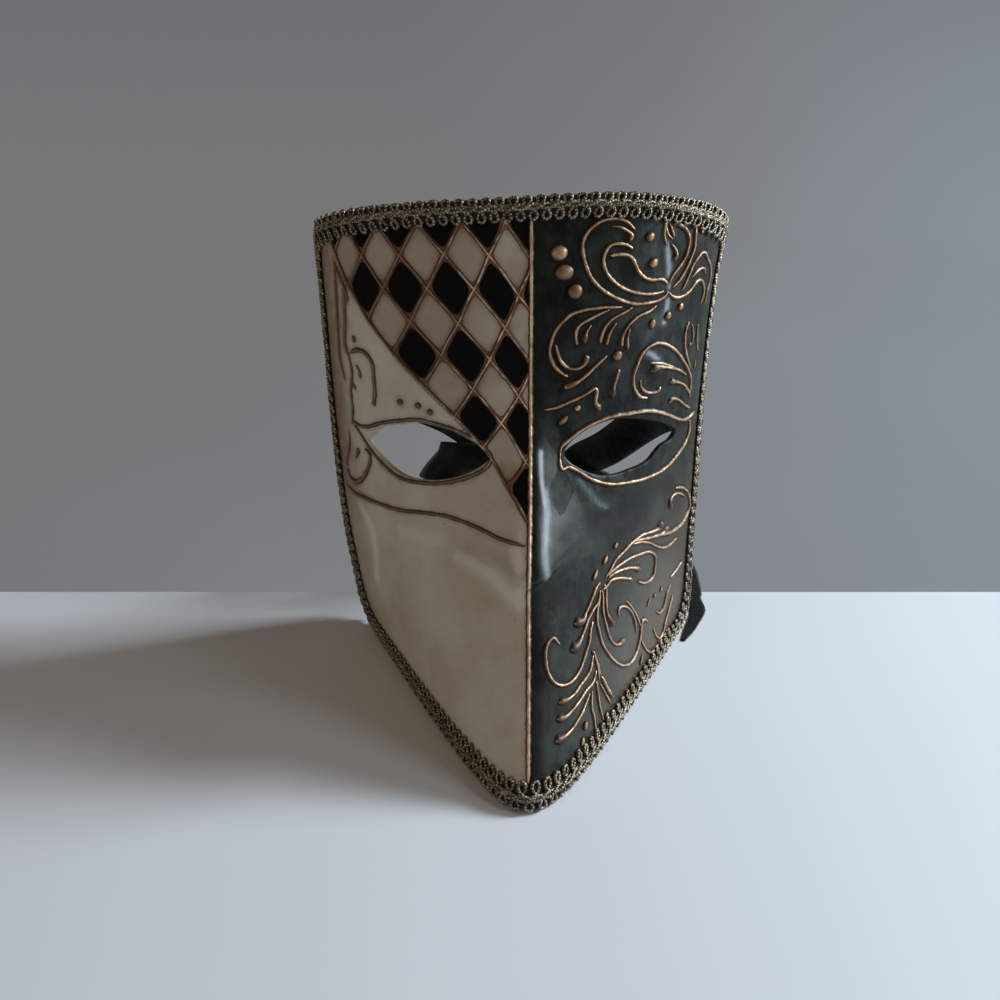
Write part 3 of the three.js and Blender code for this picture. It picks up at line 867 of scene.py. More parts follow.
class Relief(Gathered):
    """Lines and domes of raised paint."""

    def line(self, place, width, start, end, height=0.5, wander=0.0):
        place, length = even(place, 0.75)
        x = np.linspace(0, length, len(place))
        uneven = 1 + 0.1 * np.sin(x * 0.9 + place[0, 0]) + 0.07 * np.sin(x * 2.3 + place[0, 1])
        half = np.full(len(x), width / 2) * uneven
        if wander:
            place = place + wander * np.stack([np.sin(x * 0.31 + place[0, 1]), np.sin(x * 0.27 + place[0, 0])], -1)
        for radius, way in ((start, x), (end, length - x)):
            if radius:
                bulb = (radius - width / 2) * np.exp(-((np.maximum(way - radius, 0) / (1.3 * radius)) ** 2))
                half = np.maximum(half, half + bulb)
                cap = max(radius, 0.3)
            else:
                half = half * (0.62 + 0.38 * smoothstep(way, 0, 6))
                cap = width / 2
            half = half * np.sqrt(np.clip(1 - np.clip(1 - (way + 0.05) / cap, 0, 1) ** 2, 0.02, 1))
        p, n, _, _ = form_frame(place[:, 0], place[:, 1])
        over = np.cross(n, unit(np.gradient(p, axis=0)))
        high = height * 2 * half / (1 + 0.25 * half)
        rings = (
            p[:, None]
            + over[:, None] * BEAD[None, :, :1] * half[:, None, None]
            + n[:, None] * np.where(BEAD[:, 1] > 0, BEAD[:, 1] * high[:, None], BEAD[:, 1])[..., None]
        )
        rubbed = np.clip(0.62 * width / half, 0.5, 1)
        self.add(rings, np.maximum(BEAD[:, 1], 0)[None] * rubbed[:, None])
        self.ways.append(np.concatenate([p, half[:, None]], 1))

    def dome(self, centre, wide, tall, tilt):
        angle = np.linspace(0, 2 * math.pi, 18, endpoint=False)
        turn = math.radians(tilt)
        rings, crest = [], []
        for r, h in DOME:
            r = max(r, 0.01)
            u, v = r * wide * np.cos(angle), r * tall * np.sin(angle)
            du, dv = u * math.cos(turn) - v * math.sin(turn), u * math.sin(turn) + v * math.cos(turn)
            s, z = settle_offsets(centre, du, dv)
            p, n, _, _ = form_frame(s, z)
            lift = h * 0.66 * min(wide, tall) if h > 0 else h
            rings.append(p + lift * n)
            crest.append(np.full(18, 0.85 * max(h, 0)))
        self.add(np.array(rings), np.array(crest))
        p = form(centre[None, 0], centre[None, 1])
        self.ways.append(np.concatenate([p, [[min(wide, tall)]]], 1))


def settle_offsets(centre, right, up):
    """Places a little to the right of and above a centre, measured over the face."""
    _, _, ds, dz = form_frame(centre[None, 0], centre[None, 1])
    return centre[0] + right / np.linalg.norm(ds), centre[1] + up / np.linalg.norm(dz)


def read_rows(text):
    rows = [line.split() for line in text.replace("\n    ", " ").strip().splitlines()]  # an indented line goes on
    return [([float(v) for v in row[:3]], pixels_of(" ".join(row[3:]))) for row in rows]


def draw(lines, domes, height, widen):
    relief = Relief()
    rows = read_rows(lines)
    for (sizes, _), place in zip(rows, on_form([way for _, way in rows])):
        relief.line(place, sizes[0] * PIXEL * widen, sizes[1] * PIXEL, sizes[2] * PIXEL, height=height)
    rows = read_rows(domes) if domes else []
    if rows:
        s, z = held_in(*cast(np.array([way[0] for _, way in rows])))
        for (sizes, _), at in zip(rows, np.stack([s, z], -1)):
            relief.dome(at, sizes[0] * PIXEL, sizes[1] * PIXEL, sizes[2])
    return relief


right_relief = draw(RIGHT_LINES, RIGHT_DOMES, 0.58, 1.4)
left_relief = draw(LEFT_LINES, LEFT_DOMES, 0.4, 1.5)
keel_relief = draw(KEEL_LINE, "", 0.5, 1.2)

# ---------------------------------------------------------------- the check: its crossings, as seen from the camera
CROSSINGS = """
0 0 351,286 / 1 0 363,254 / 2 0 378,225 / 0 1 368,317 / 1 1 383.5,284 / 2 1 399,253 / 3 1 415,222
0 2 394,357 / 1 2 411,320 / 2 2 428,287 / 3 2 444,256 / 4 2 459,222 / 0 3 417,388 / 1 3 438,355
2 3 458.5,323.5 / 3 3 474,285 / 4 3 490.5,259 / 5 3 505,222 / 0 4 457,413 / 1 4 470,394 / 2 4 488.5,360
3 4 507,327 / 4 4 520,291 / 0 5 491,444 / 1 5 504,424 / 2 5 519,397 / 3 5 529,372 / 0 6 508.5,486
1 6 527,457 / 0 7 525,526 / 0 -1 334,251 / 1 -1 345,226
"""
knots = [row.split() for row in CROSSINGS.replace("\n", " / ").split("/") if row.strip()]
knot_ab = np.array([(float(k[0]), float(k[1])) for k in knots])
knot_s, knot_z = cast(np.array([pixels_of(k[2])[0] for k in knots]))


def terms(s, z):
    u, v = (np.asarray(s) + 60) / 60, (np.asarray(z) - 170) / 60
    return np.stack([np.ones_like(u), u, v, u * u, u * v, v * v, u**3, u * u * v, u * v * v, v**3], -1)


weights = terms(knot_s, knot_z)
ridge = np.diag([0, 0, 0] + [0.02] * 3 + [0.06] * 4)
fit = np.linalg.solve(weights.T @ weights + ridge, weights.T @ knot_ab)


def lattice(s, z):
    return (terms(s, z) @ fit).T


def lattice_place(a, b):
    """Where on the face the check's coordinates have these values."""
    near = ((np.stack([a, b], -1)[:, None] - knot_ab) ** 2).sum(-1).argmin(1)
    s, z = knot_s[near].copy(), knot_z[near].copy()
    for _ in range(12):
        a0, b0 = lattice(s, z)
        a1, b1 = lattice(s + 0.5, z)
        a2, b2 = lattice(s, z + 0.5)
        ja, jb, ka, kb = (a1 - a0) * 2, (b1 - b0) * 2, (a2 - a0) * 2, (b2 - b0) * 2
        det = ja * kb - ka * jb
        det = np.where(np.abs(det) < 1e-5, 1e-5, det)
        s = s + np.clip(((a - a0) * kb - (b - b0) * ka) / det, -8, 8)
        z = z + np.clip(((b - b0) * ja - (a - a0) * jb) / det, -8, 8)
    return s, z


keel_s, keel_z = cast(spline(read_rows(KEEL_LINE)[0][1], 4))
order = np.argsort(keel_z)
keel_s, keel_z = keel_s[order], keel_z[order]


def keel_gap(s, z):
    """Distance past the keel's line, positive on the right."""
    return s - np.interp(z, keel_z, keel_s)


LIMITS = {True: [], False: []}
for along_a in (True, False):
    for k in range(-1, 9):
        run = np.arange(-2, 9, 0.04)
        fixed = np.full(len(run), float(k))
        a, b = (fixed, run) if along_a else (run, fixed)
        s, z = lattice_place(a, b)
        share = s / level_length(s, z)
        a_back, b_back = lattice(s, z)
        inside = (
            (np.hypot(a_back - a, b_back - b) < 0.02) & (a > -0.02) & (keel_gap(s, z) < 0.4)
            & (z < crown_line(share) - BRAID_MARGIN) & (np.abs(share) < 0.97) & (z > 60)
        )
        groups = np.split(np.arange(len(run)), np.nonzero(~inside)[0])
        for group in groups:
            group = group[inside[group]] if len(group) else group
            if len(group) < 8 or (along_a and k < 0):
                continue
            place = np.stack([s[group], z[group]], -1)
            LIMITS[along_a].append(place)
for along_a in (True, False):
    for place in LIMITS[along_a]:
        left_relief.line(place, 1.6, 0, 0, height=0.52, wander=0.2)
edge_of_field = max(LIMITS[True], key=lambda p: -lattice(p[:, 0], p[:, 1])[0].mean())

right_lines = right_relief.finish("gold_scrolls", "gold_braid", "crest")
left_lines = left_relief.finish("bronze_lines", "gold_braid", "crest")
keel_line = keel_relief.finish("keel_line", "gold_braid", "crest")


# ---------------------------------------------------------------- what the shell's finish reads
def gap_to(relief, points, far=9.0):
    """Distance from each point to the side of the nearest raised line."""
    ways = np.concatenate(relief.ways)
    tree = kdtree.KDTree(len(ways))
    for k, way in enumerate(ways[:, :3]):
        tree.insert(way, k)
    tree.balance()
    gap = np.full(len(points), far)
    for k, p in enumerate(points):
        _, index, d = tree.find(p)
        gap[k] = min(far, d - ways[index, 3])
    return gap


skin_s, skin_z = skin_place.T
skin_a, skin_b = lattice(skin_s, skin_z)
low_edge = np.array(sorted(edge_of_field.tolist(), key=lambda p: p[1]))
in_field = np.minimum(skin_s - np.interp(skin_z, low_edge[:, 1], low_edge[:, 0]), 9)
in_field = np.minimum(in_field, skin_z - low_edge[0, 1])
near_right, near_left = np.full(len(skin_points), 9.0), np.full(len(skin_points), 9.0)
front = skin_depth < 0.5
near_right[front] = gap_to(right_relief, skin_points[front])
near_left[front] = gap_to(left_relief, skin_points[front])
add_field(skin.data, "lattice", np.stack([skin_a, skin_b, in_field], -1))
add_field(skin.data, "near", np.stack([near_right, near_left, np.clip(keel_gap(skin_s, skin_z), -30, 30)], -1))

# Painted light on the dark half, as seen from the camera: half-width and strength, then the way; a mark above nought is
# a painted highlight in the look of silvery dry brush, for the window's reflection on the varnish, and below nought a
# mark is painted shade. The pale marks are painted highlights where the cream half swells and shines, and painted shade
# below nought
DARK_HALF_PAINTED_LIGHT = """
5 1 541,452 541,462 541.5,478 543,492 545,505
10 0.85 545,492 546.5,510 545.5,536 545,560 548,578
8 0.7 580,479 586,488 592.5,495 600,504 606,508
7 0.25 560,579 568,576 576,571 590,564
14 0.4 652,214 652,245 658,275 662,300
7 0.9 664,226 668,250 669,275 668,300 664,322
12 0.45 655,318 650,335 646,350
7 0.9 648,352 655,357 662,366
12 0.25 548,600 552,640 556,690
12 0.3 575,592 570,615 574,640
24 -1 592,526 612,524 640,506
12 -0.8 568,530 566,550 564,566
10 -0.7 548,582 556,592 566,598
"""
CREAM_HALF_PAINTED_LIGHT = """
9 0.9 362,508 372,530 376,552 377,578
9 0.8 458,558 476,566 492,578 506,592 522,606
8 1 514,552 517,560 519,568
7 1 519,594 522,604
10 0.5 400,530 420,537 440,541
10 -0.6 466,548 482,554 500,566 514,582
"""


def marked(points, marks):
    """How far each point is inside a mark: its strength in the middle, none at its edge."""
    found = np.zeros(len(points))
    for row in marks.strip().splitlines():
        half, strength, *way = row.split()
        s, z = cast(spline(pixels_of(" ".join(way)), 3))
        line = form(*np.transpose(even(np.stack([s, z], -1), 0.5)[0]))
        gap = np.min([np.linalg.norm(points - p, axis=1) for p in line], axis=0)
        mark = float(strength) * (1 - smoothstep(gap, 0, float(half) * PIXEL * 1.5))
        found = np.where(np.abs(mark) > np.abs(found), mark, found)
    return found


rim_gap = np.minimum(level_length(skin_s, skin_z) - np.abs(skin_s), 60)
add_field(skin.data, "rim_gap", rim_gap)
# Painted light for the shell: a painted highlight where a mark is above nought, painted shade where it is below
painted_light = np.zeros(len(skin_points))
for half, marks in ((front & (skin_s > 0), DARK_HALF_PAINTED_LIGHT), (front & (skin_s < 0), CREAM_HALF_PAINTED_LIGHT)):
    painted_light[half] = marked(skin_points[half], marks)
add_field(skin.data, "painted_light", painted_light)


# ---------------------------------------------------------------- the braid round the rim
def rim_path(step):
    """Places round the rim, evenly spaced: share and height share."""
    line = np.linspace(0, 1, 400)
    share = np.concatenate([2 * line - 1, np.ones(400), 1 - 2 * line, -np.ones(400)])
    t = np.concatenate([np.zeros(400), line, np.ones(400), 1 - line])
    run = run_of(form(*rim_place(share, t, RIM_INSET)))
    number = int(round(run[-1] / step))
    at = np.arange(number) / number * run[-1]
    return np.interp(at, run, share), np.interp(at, run, t), run[-1]


def braid_frame(step):
    share, t, length = rim_path(step)
    s0, z0 = rim_place(share, t, RIM_INSET)
    s1, z1 = rim_place(share, t, RIM_INSET + BRAID_REACH)
    edge, n0, _, _ = form_frame(s0, z0)
    for _ in range(3):
        n0 = unit(n0 + 0.5 * (np.roll(n0, 1, 0) + np.roll(n0, -1, 0)))
    off = edge - form(s1, z1)
    off -= (off * n0).sum(1, keepdims=True) * n0
    out = np.cross(unit(np.roll(edge, -1, 0) - np.roll(edge, 1, 0)), n0)
    out *= np.sign((out * off).sum(1, keepdims=True))
    return {"share": (share, t), "edge": edge, "n": n0, "out": out, "length": length}


FOLD = 0.22  # the share of the braid's half-width that lies over the rim
OFF_SHELL = 0.75  # how far the ground cloth stands off the shell


def braid_points(path, w, lift):
    """Points of the braid: w runs from -1 at the front edge to 1 at the back edge, with the rim at 0."""
    share, t = path["share"]
    edge, n, out = path["edge"], path["n"], path["out"]
    if abs(w) > FOLD:
        reach = (abs(w) - FOLD) / (1 - FOLD) * BRAID_REACH
        p, m, _, _ = form_frame(*rim_place(share, t, RIM_INSET + reach))
        q = p + (OFF_SHELL + lift) * m if w < 0 else p - (WALL + OFF_SHELL + lift) * m
    else:
        a = w / FOLD * math.pi / 2
        wide, past = WALL / 2 + OFF_SHELL + lift, 0.9 + lift
        q = edge + (-WALL / 2 - wide * math.sin(a)) * n + past * math.cos(a) * out
    q[:, 2] = np.maximum(q[:, 2], 0.06)
    return q


GROUND = 0.83  # the cloth under the thread stops short of the outer loops
path = braid_frame(1.3)
number = len(path["edge"])
over_and_back = [(w, 0.0) for w in np.linspace(-GROUND, GROUND, 21)]
over_and_back += [(w, -0.45) for w in np.linspace(GROUND, -GROUND, 21)]
strip = np.array([braid_points(path, w, lift) for w, lift in over_and_back])
band = len(strip)
strip_faces = []
for i in range(number):
    j = (i + 1) % number
    for k in range(band):
        m = (k + 1) % band
        strip_faces.append((k * number + i, m * number + i, m * number + j, k * number + j))
braid_base = mesh_object("braid_ground", strip.reshape(-1, 3), strip_faces, {})
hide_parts("rim_braid")


# ---------------------------------------------------------------- the braid's scrolls of thread
FOLD_LENGTH = 6.0  # how far the braid runs over the rim itself
ROUND = 2 * BRAID_REACH + FOLD_LENGTH
LOOP_PITCH, LOOP_REACH, LOOP_SWING, THREAD = 5.8, 2.4, 2.95, 0.72
LOOPS = 2 * int(round(path["length"] / LOOP_PITCH / 2))
ACROSS = np.linspace(-1, 1, 61)
ground_sheet, over_sheet = (np.array([braid_points(path, w, lift) for w in ACROSS]) for lift in (0.0, 0.5))


def on_braid(turn, distance, lift):
    """Points at a share of the way round, a distance in from the front edge and a height over the ground cloth."""
    w = np.interp(distance, [0, BRAID_REACH, BRAID_REACH + FOLD_LENGTH, ROUND], [-1, -FOLD, FOLD, 1])
    row = np.clip((w + 1) / 2 * (len(ACROSS) - 1), 0, len(ACROSS) - 1.001)
    column = turn % 1 * number
    i, j = row.astype(int), column.astype(int) % number
    f, g, k = (row - i)[:, None], (column - column.astype(int))[:, None], (j + 1) % number

    def mix(t):
        return (1 - g) * ((1 - f) * t[i, j] + f * t[i + 1, j]) + g * ((1 - f) * t[i, k] + f * t[i + 1, k])

    ground, over = mix(ground_sheet), mix(over_sheet)
    return ground + lift[:, None] * (over - ground) / 0.5


def scrolls(middle, inward, shift):
    """A thread round the whole rim that loops over itself, with its loops on the inner side or the other."""
    angle = np.arange(LOOPS * 13) / 13 * 2 * math.pi
    turn = (angle / (2 * math.pi) - LOOP_SWING * np.sin(angle) / LOOP_PITCH + shift) / LOOPS
    reach = LOOP_REACH * (1 + 0.05 * np.sin(angle * 0.137 + shift * 9))
    return on_braid(turn, middle - inward * reach * np.cos(angle), 0.5 + 0.34 * np.sin(angle))


def twisted(middle, lift, hand):
    """Two threads twisted round one line of the braid."""
    turn = np.arange(LOOPS * 7) / LOOPS / 7
    rows = []
    for start in (0, math.pi):
        angle = hand * turn * LOOPS * math.pi + start
        rows.append(on_braid(turn, middle + 0.95 * np.cos(angle), lift + 0.45 * np.sin(angle)))
    return rows


def work_tree(name, inputs):
    tree = bpy.data.node_groups.new(name, "GeometryNodeTree")
    tree.interface.new_socket("Geometry", in_out="INPUT", socket_type="NodeSocketGeometry")
    tree.interface.new_socket("Geometry", in_out="OUTPUT", socket_type="NodeSocketGeometry")
    for key, kind in inputs:
        tree.interface.new_socket(key, in_out="INPUT", socket_type="NodeSocket" + kind)
    return tree, put(tree, "NodeGroupInput").outputs, put(tree, "NodeGroupOutput")


def threads_tree():
    """A round thread along each line of the given mesh, kept on the table where it would be in it."""
    tree, given, result = work_tree("threads", [("Thread radius", "Float"), ("Thread", "Material")])
    curve = put(tree, "GeometryNodeMeshToCurve", sockets={"Mesh": given["Geometry"]}).outputs[0]
    profile = put(
        tree, "GeometryNodeCurvePrimitiveCircle", sockets={"Resolution": 5, "Radius": given["Thread radius"]}
    ).outputs[0]
    thread = put(tree, "GeometryNodeCurveToMesh", sockets={"Curve": curve, "Profile Curve": profile}).outputs[0]
    real = put(tree, "GeometryNodeRealizeInstances", sockets={"Geometry": thread}).outputs[0]
    parts = put(
        tree, "ShaderNodeSeparateXYZ", sockets={0: put(tree, "GeometryNodeInputPosition").outputs[0]}
    ).outputs
    height = put(tree, "ShaderNodeMath", {"operation": "MAXIMUM"}, {0: parts[2], 1: 0.00006}).outputs[0]
    held = put(tree, "ShaderNodeCombineXYZ", sockets={0: parts[0], 1: parts[1], 2: height}).outputs[0]
    placed = put(tree, "GeometryNodeSetPosition", sockets={"Geometry": real, "Position": held}).outputs[0]
    smooth = put(tree, "GeometryNodeSetShadeSmooth", sockets={"Geometry": placed}).outputs[0]
    painted = put(tree, "GeometryNodeSetMaterial", sockets={"Geometry": smooth, "Material": given["Thread"]})
    tree.links.new(painted.outputs[0], result.inputs[0])
    return tree


def threads(name, rows, tree, values):
    """The plain mesh that the tree makes along closed rows of points."""
    lines = bpy.data.meshes.new(name + "_lines")
    edges, run, first = [], [], 0
    for row in rows:
        edges += [(first + k, first + (k + 1) % len(row)) for k in range(len(row))]
        run.append(np.cumsum(np.linalg.norm(row - np.roll(row, 1, 0), axis=1)))
        first += len(row)
    lines.from_pydata(to_scene(np.concatenate(rows)).tolist(), edges, [])
    add_field(lines, "run", np.concatenate(run))
    carrier = new_object(name + "_carrier", lines)
    modifier = carrier.modifiers.new("work", "NODES")
    modifier.node_group = tree
    for item in tree.interface.items_tree:
        if item.in_out == "INPUT" and item.name in values:
            modifier[item.identifier] = values[item.name]
    graph = bpy.context.evaluated_depsgraph_get()
    made = bpy.data.meshes.new_from_object(carrier.evaluated_get(graph))
    bpy.data.objects.remove(carrier)
    made.name = name
    piece = new_object(name, made)
    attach(piece, "root")
    return piece


def gold_thread():
    f = Finish("gold thread")
    patch, grain = f.cloud(4, 2, 0.5), f.cloud(0.6, 2, 0.6, shift=0.2)
    twist = ((f.field("run") + grain * 1.2) * 4.4).sine()
    # Dark and pale thread in patches, with faint stripes along the twist as painted shade of the plies, then small
    # painted glints
    colour = f.mix((twist * 0.1 + patch + grain * 0.4 - 0.2).step(0.2, 0.75), tone(47, 39, 29), tone(132, 120, 99))
    colour = f.mix((grain + twist * 0.07).step(0.54, 0.66) * 0.7, colour, tone(240, 231, 210))
    return f.done(colour, 0.34 + grain * 0.2, metallic=0.42, normal=f.bump(twist * 0.25 + grain * 0.75, 0.2))


sizes = {"Thread radius": THREAD / 1000, "Thread": gold_thread()}
thread_tree = threads_tree()
EDGE_ROW, RIM_ROW, CORE = LOOP_REACH + THREAD, 5.0 + LOOP_REACH + THREAD, 6.0
for name, place in (("front_braid", lambda d: d), ("back_braid", lambda d: ROUND - d)):
    facing = 1 if name == "front_braid" else -1
    rows = [scrolls(place(EDGE_ROW), facing, 0.0), scrolls(place(RIM_ROW), -facing, 0.5)]
    threads(name, rows + twisted(place(CORE), 1.1, facing), thread_tree, sizes)


# ---------------------------------------------------------------- the satin ties
KNOT_AT = np.array([18.0, 198.0, 60.0])
RIBBON_WIDE, RIBBON_THICK, TABLE_GAP = 22.0, 0.8, 0.05
CLOTH_THICK = 0.55  # the satin itself; the ribbon keeps more room than that
KNOT_TAKES = 20  # length of ribbon that goes into each half of the knot
TABLE_Z = RIBBON_THICK / 2 + TABLE_GAP
UPRIGHT = (0, 0, 1)


def inside_place(side, height, back, inside):
    length = side_length(side, height)
    p, n, _, _ = form_frame(np.array([side * (length - back)]), np.array([height]))
    level = n * [1, 1, 0]
    level /= max((level * level).sum(), 0.35)
    return tuple((p - (WALL + inside) * level)[0])


def strap(side, height, sag):
    over = 2 * CLEARANCE + 1.6 + RIBBON_THICK
    return [
        (inside_place(side, height, 32, 1.6), UPRIGHT, 1),
        (inside_place(side, height, 22, 1.8), UPRIGHT, 1),
        (inside_place(side, height, 12, over), UPRIGHT, 1),
        (inside_place(side, height, 0, over + 0.3), UPRIGHT, 1),
        *sag,
        (tuple(KNOT_AT + (side * 6, 0, 0)), UPRIGHT, 0.6),
    ]


ROUTES = {
    -1: [
        strap(-1, 119, [((-70, 184, 113), UPRIGHT, 1), ((-40, 195, 97.5), (-0.5, 0, 1), 1),
        ((-8, 198, 70.5), (-0.5, 0, 1), 0.9)]),
        [
            ((15, 196, 61), UPRIGHT, 0.7), ((-4, 192, 67), (-0.1, 0, 1), 0.9), ((-20, 189, 71), (0.25, 0, 1), 1),
            ((-38, 189, 71), (0.6, 0, 1), 1), ((-48, 194, 68.5), (0.8, 0, 1), 1), ((-50, 203, 65), (0.8, 0, 1), 1),
            ((-40, 208, 62), (0.6, 0, 1), 1), ((-20, 209, 60), (0.2, 0, 1), 1), ((3, 204, 58), UPRIGHT, 0.9),
            ((15, 201, 59), UPRIGHT, 0.7),
        ],
        [
            ((10.5, 199, 55), (1, 0, 0.2), 0.55), ((8, 203, 43), (1, 0, 0.2), 0.75),
            ((4, 208, 24), (0.95, 0.2, 0.25), 1),
            ((-7, 209, 9), (0.8, 0.55, 0.2), 1), ((-22, 205, 1.6), (0.35, 0.95, 0), 1),
            ((-42, 199, TABLE_Z), (0.15, 1, 0), 1),
            ((-62, 191, TABLE_Z), (-0.5, 0.9, 0), 1), ((-76, 180, TABLE_Z), (-0.7, 0.7, 0), 1),
        ],
    ],
    1: [
        strap(1, 113, [((71, 184, 102), (0.1, 0, 1), 1), ((46, 193, 77), (0.3, 0, 1), 0.92),
        ((31, 197, 66.5), (0.2, 0, 1), 0.85)]),
        [
            ((21, 196, 60), UPRIGHT, 0.7), ((32, 193, 55), (0.4, 0, 1), 0.9), ((47, 190, 46), (0.5, 0, 1), 1),
            ((62, 192, 37), (0.6, 0, 1), 1), ((68, 199, 34), (0.6, 0, 1), 1), ((60, 206, 36), (0.6, 0, 1), 1),
            ((44, 208, 44), (0.5, 0, 1), 1), ((29, 204, 54), (0.3, 0, 1), 0.9), ((21, 201, 58), UPRIGHT, 0.7),
        ],
        [
            ((25.5, 199, 55), (1, 0, -0.2), 0.55), ((27, 204, 44), (1, 0, 0.1), 0.75),
            ((36, 211, 26), (0.7, 0.1, 0.7), 1),
            ((54, 213, 14), (0.3, 0.3, 0.9), 1), ((72, 211, 7), (0.1, 0.7, 0.7), 1),
            ((85, 203, 2.2), (0.75, 0.65, 0.15), 1),
            ((90.2, 190, TABLE_Z), (1, 0.1, 0), 1), ((90.4, 174, TABLE_Z), (1, 0, 0), 1),
            ((91, 160, TABLE_Z), (1, 0, 0), 0.86),
            ((95.6, 149, TABLE_Z), (1, -0.3, 0), 0.42), ((92.2, 139, TABLE_Z), (1, -0.6, 0), 0.3),
            ((88, 130, TABLE_Z), (1, -0.6, 0), 0.24), ((83.9, 122, TABLE_Z), (1, -0.6, 0), 0.1),
        ],
    ],
}


def hermite_path(values, knots, count):
    """Centripetal Catmull-Rom through values, at evenly spaced lengths of the knots' path."""
    v, k = (with_ends(np.asarray(part, float)) for part in (values, knots))
    dense, where = [], []
    for i in range(1, len(v) - 2):
        spans = spans_of(k[i - 1 : i + 3])
        for t in np.linspace(0, 1, 24, endpoint=False):
            dense.append(curve_point(v[i - 1 : i + 3], spans, t))
            where.append(curve_point(k[i - 1 : i + 3], spans, t))
    run = run_of(np.array(where + [k[-2]]))
    return at_run(np.array(dense + [v[-2]]), run, np.linspace(0, run[-1], count)), run[-1]


def ribbon(route, curl, start):
    """Rings of a soft ribbon along a route: points ring by ring, its length, and where each point is on the cloth."""
    at, width, share = zip(*route)
    width = unit(np.array(width, float))
    _, length = hermite_path(at, at, 10)
    steps = int(length / 1.4) + 2
    centre, length = hermite_path(at, at, steps)
    width, _ = hermite_path(width, at, steps)
    share, _ = hermite_path(np.array(share, float)[:, None], at, steps)
    run = unit(np.gradient(centre, axis=0))
    width = unit(width - (width * run).sum(1, keepdims=True) * run)
    face = np.cross(run, width)
    distance = np.linspace(0, length, steps)
    rings, cloth = [], []
    across = np.linspace(-1, 1, 15)
    for side, order in ((1, across), (-1, across[::-1])):
        for u in order:
            fade = np.clip(centre[:, 2:3] / 6 - 0.2, 0, 1)
            bow = curl * (u * u - 0.5) * fade + 0.35 * fade * np.sin(distance / 9 + start + u)[:, None]
            thick = 0.5 * CLOTH_THICK * (1 - 0.75 * abs(u) ** 8) * side
            half = RIBBON_WIDE * np.clip(share, 0.03, 1) / 2
            p = centre + width * half * u + face * (bow * share + thick)
            rings.append(p)
            cloth.append(np.stack([distance + start * 40, half[:, 0] * u, np.full(steps, float(side))], -1))
    rings, cloth = np.array(rings).transpose(1, 0, 2), np.array(cloth).transpose(1, 0, 2)
    low = rings[:, :, 2].min(1) - TABLE_GAP
    rings[:, :, 2] -= np.minimum(low, 0)[:, None]
    return rings, cloth, length


def knot_half(side):
    """Half of the knot: a soft wrapped band."""
    rings, cloth = [], []
    for v in np.linspace(-1, 1, 13):
        y = 9.0 * v
        ring = []
        for a in np.linspace(0, 2 * math.pi, 28, endpoint=False):
            swell = max(1 - v * v, 0) ** 0.4
            x = 4.1 * math.cos(a) * (0.75 + 0.25 * swell)
            d = (4.7 + 0.35 * math.sin(3 * x + 1)) * math.sin(a) * (0.25 + 0.75 * swell)
            ring.append((KNOT_AT[0] + side * (x + 4.3), KNOT_AT[1] + d, KNOT_AT[2] + y * (0.86 + 0.06 * math.cos(a))))
        rings.append(ring)
        cloth.append([(k, y, 1.0) for k in range(28)])
    return np.array(rings), np.array(cloth, float)


ties = []
for side, name in ((-1, "left"), (1, "right")):
    cloth, total = Gathered(), 0
    for n, route in enumerate(ROUTES[side]):
        rings, where, length = ribbon(route, 1.2, n + side)
        cloth.add(rings, where)
        total += length
    cloth.add(*knot_half(side))
    tie = cloth.finish(name + "_satin_tie", "black_satin", "cloth")
    flat_length = (total + KNOT_TAKES) / 1000
    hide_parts("tie_" + name)
    ties.append(tie)

# ---------------------------------------------------------------- stage and light
TABLE_END = 0.0572  # where the table meets the backdrop, which runs on level and then turns up
BEYOND, TOP, DROP = 0.75, 0.6, -0.0003  # where the backdrop turns up, how high it goes, how far it lies below


def panel(name, points, faces):
    mesh = bpy.data.meshes.new(name)
    mesh.from_pydata(points, [], faces)
    return new_object(name, mesh)


floor = panel("floor", [(-3, -2, 0), (3, -2, 0), (3, TABLE_END, 0), (-3, TABLE_END, 0)], [(0, 1, 2, 3)])
sweep = [(x, y, z) for y, z in ((TABLE_END, DROP), (BEYOND, DROP), (BEYOND, TOP)) for x in (-1.2, 1.2)]
wall = panel("backdrop", sweep, [(0, 1, 3, 2), (2, 3, 5, 4)])


# ---------------------------------------------------------------- finishes
SQUARENESS = 5.5  # how square the corners of the check's cells are


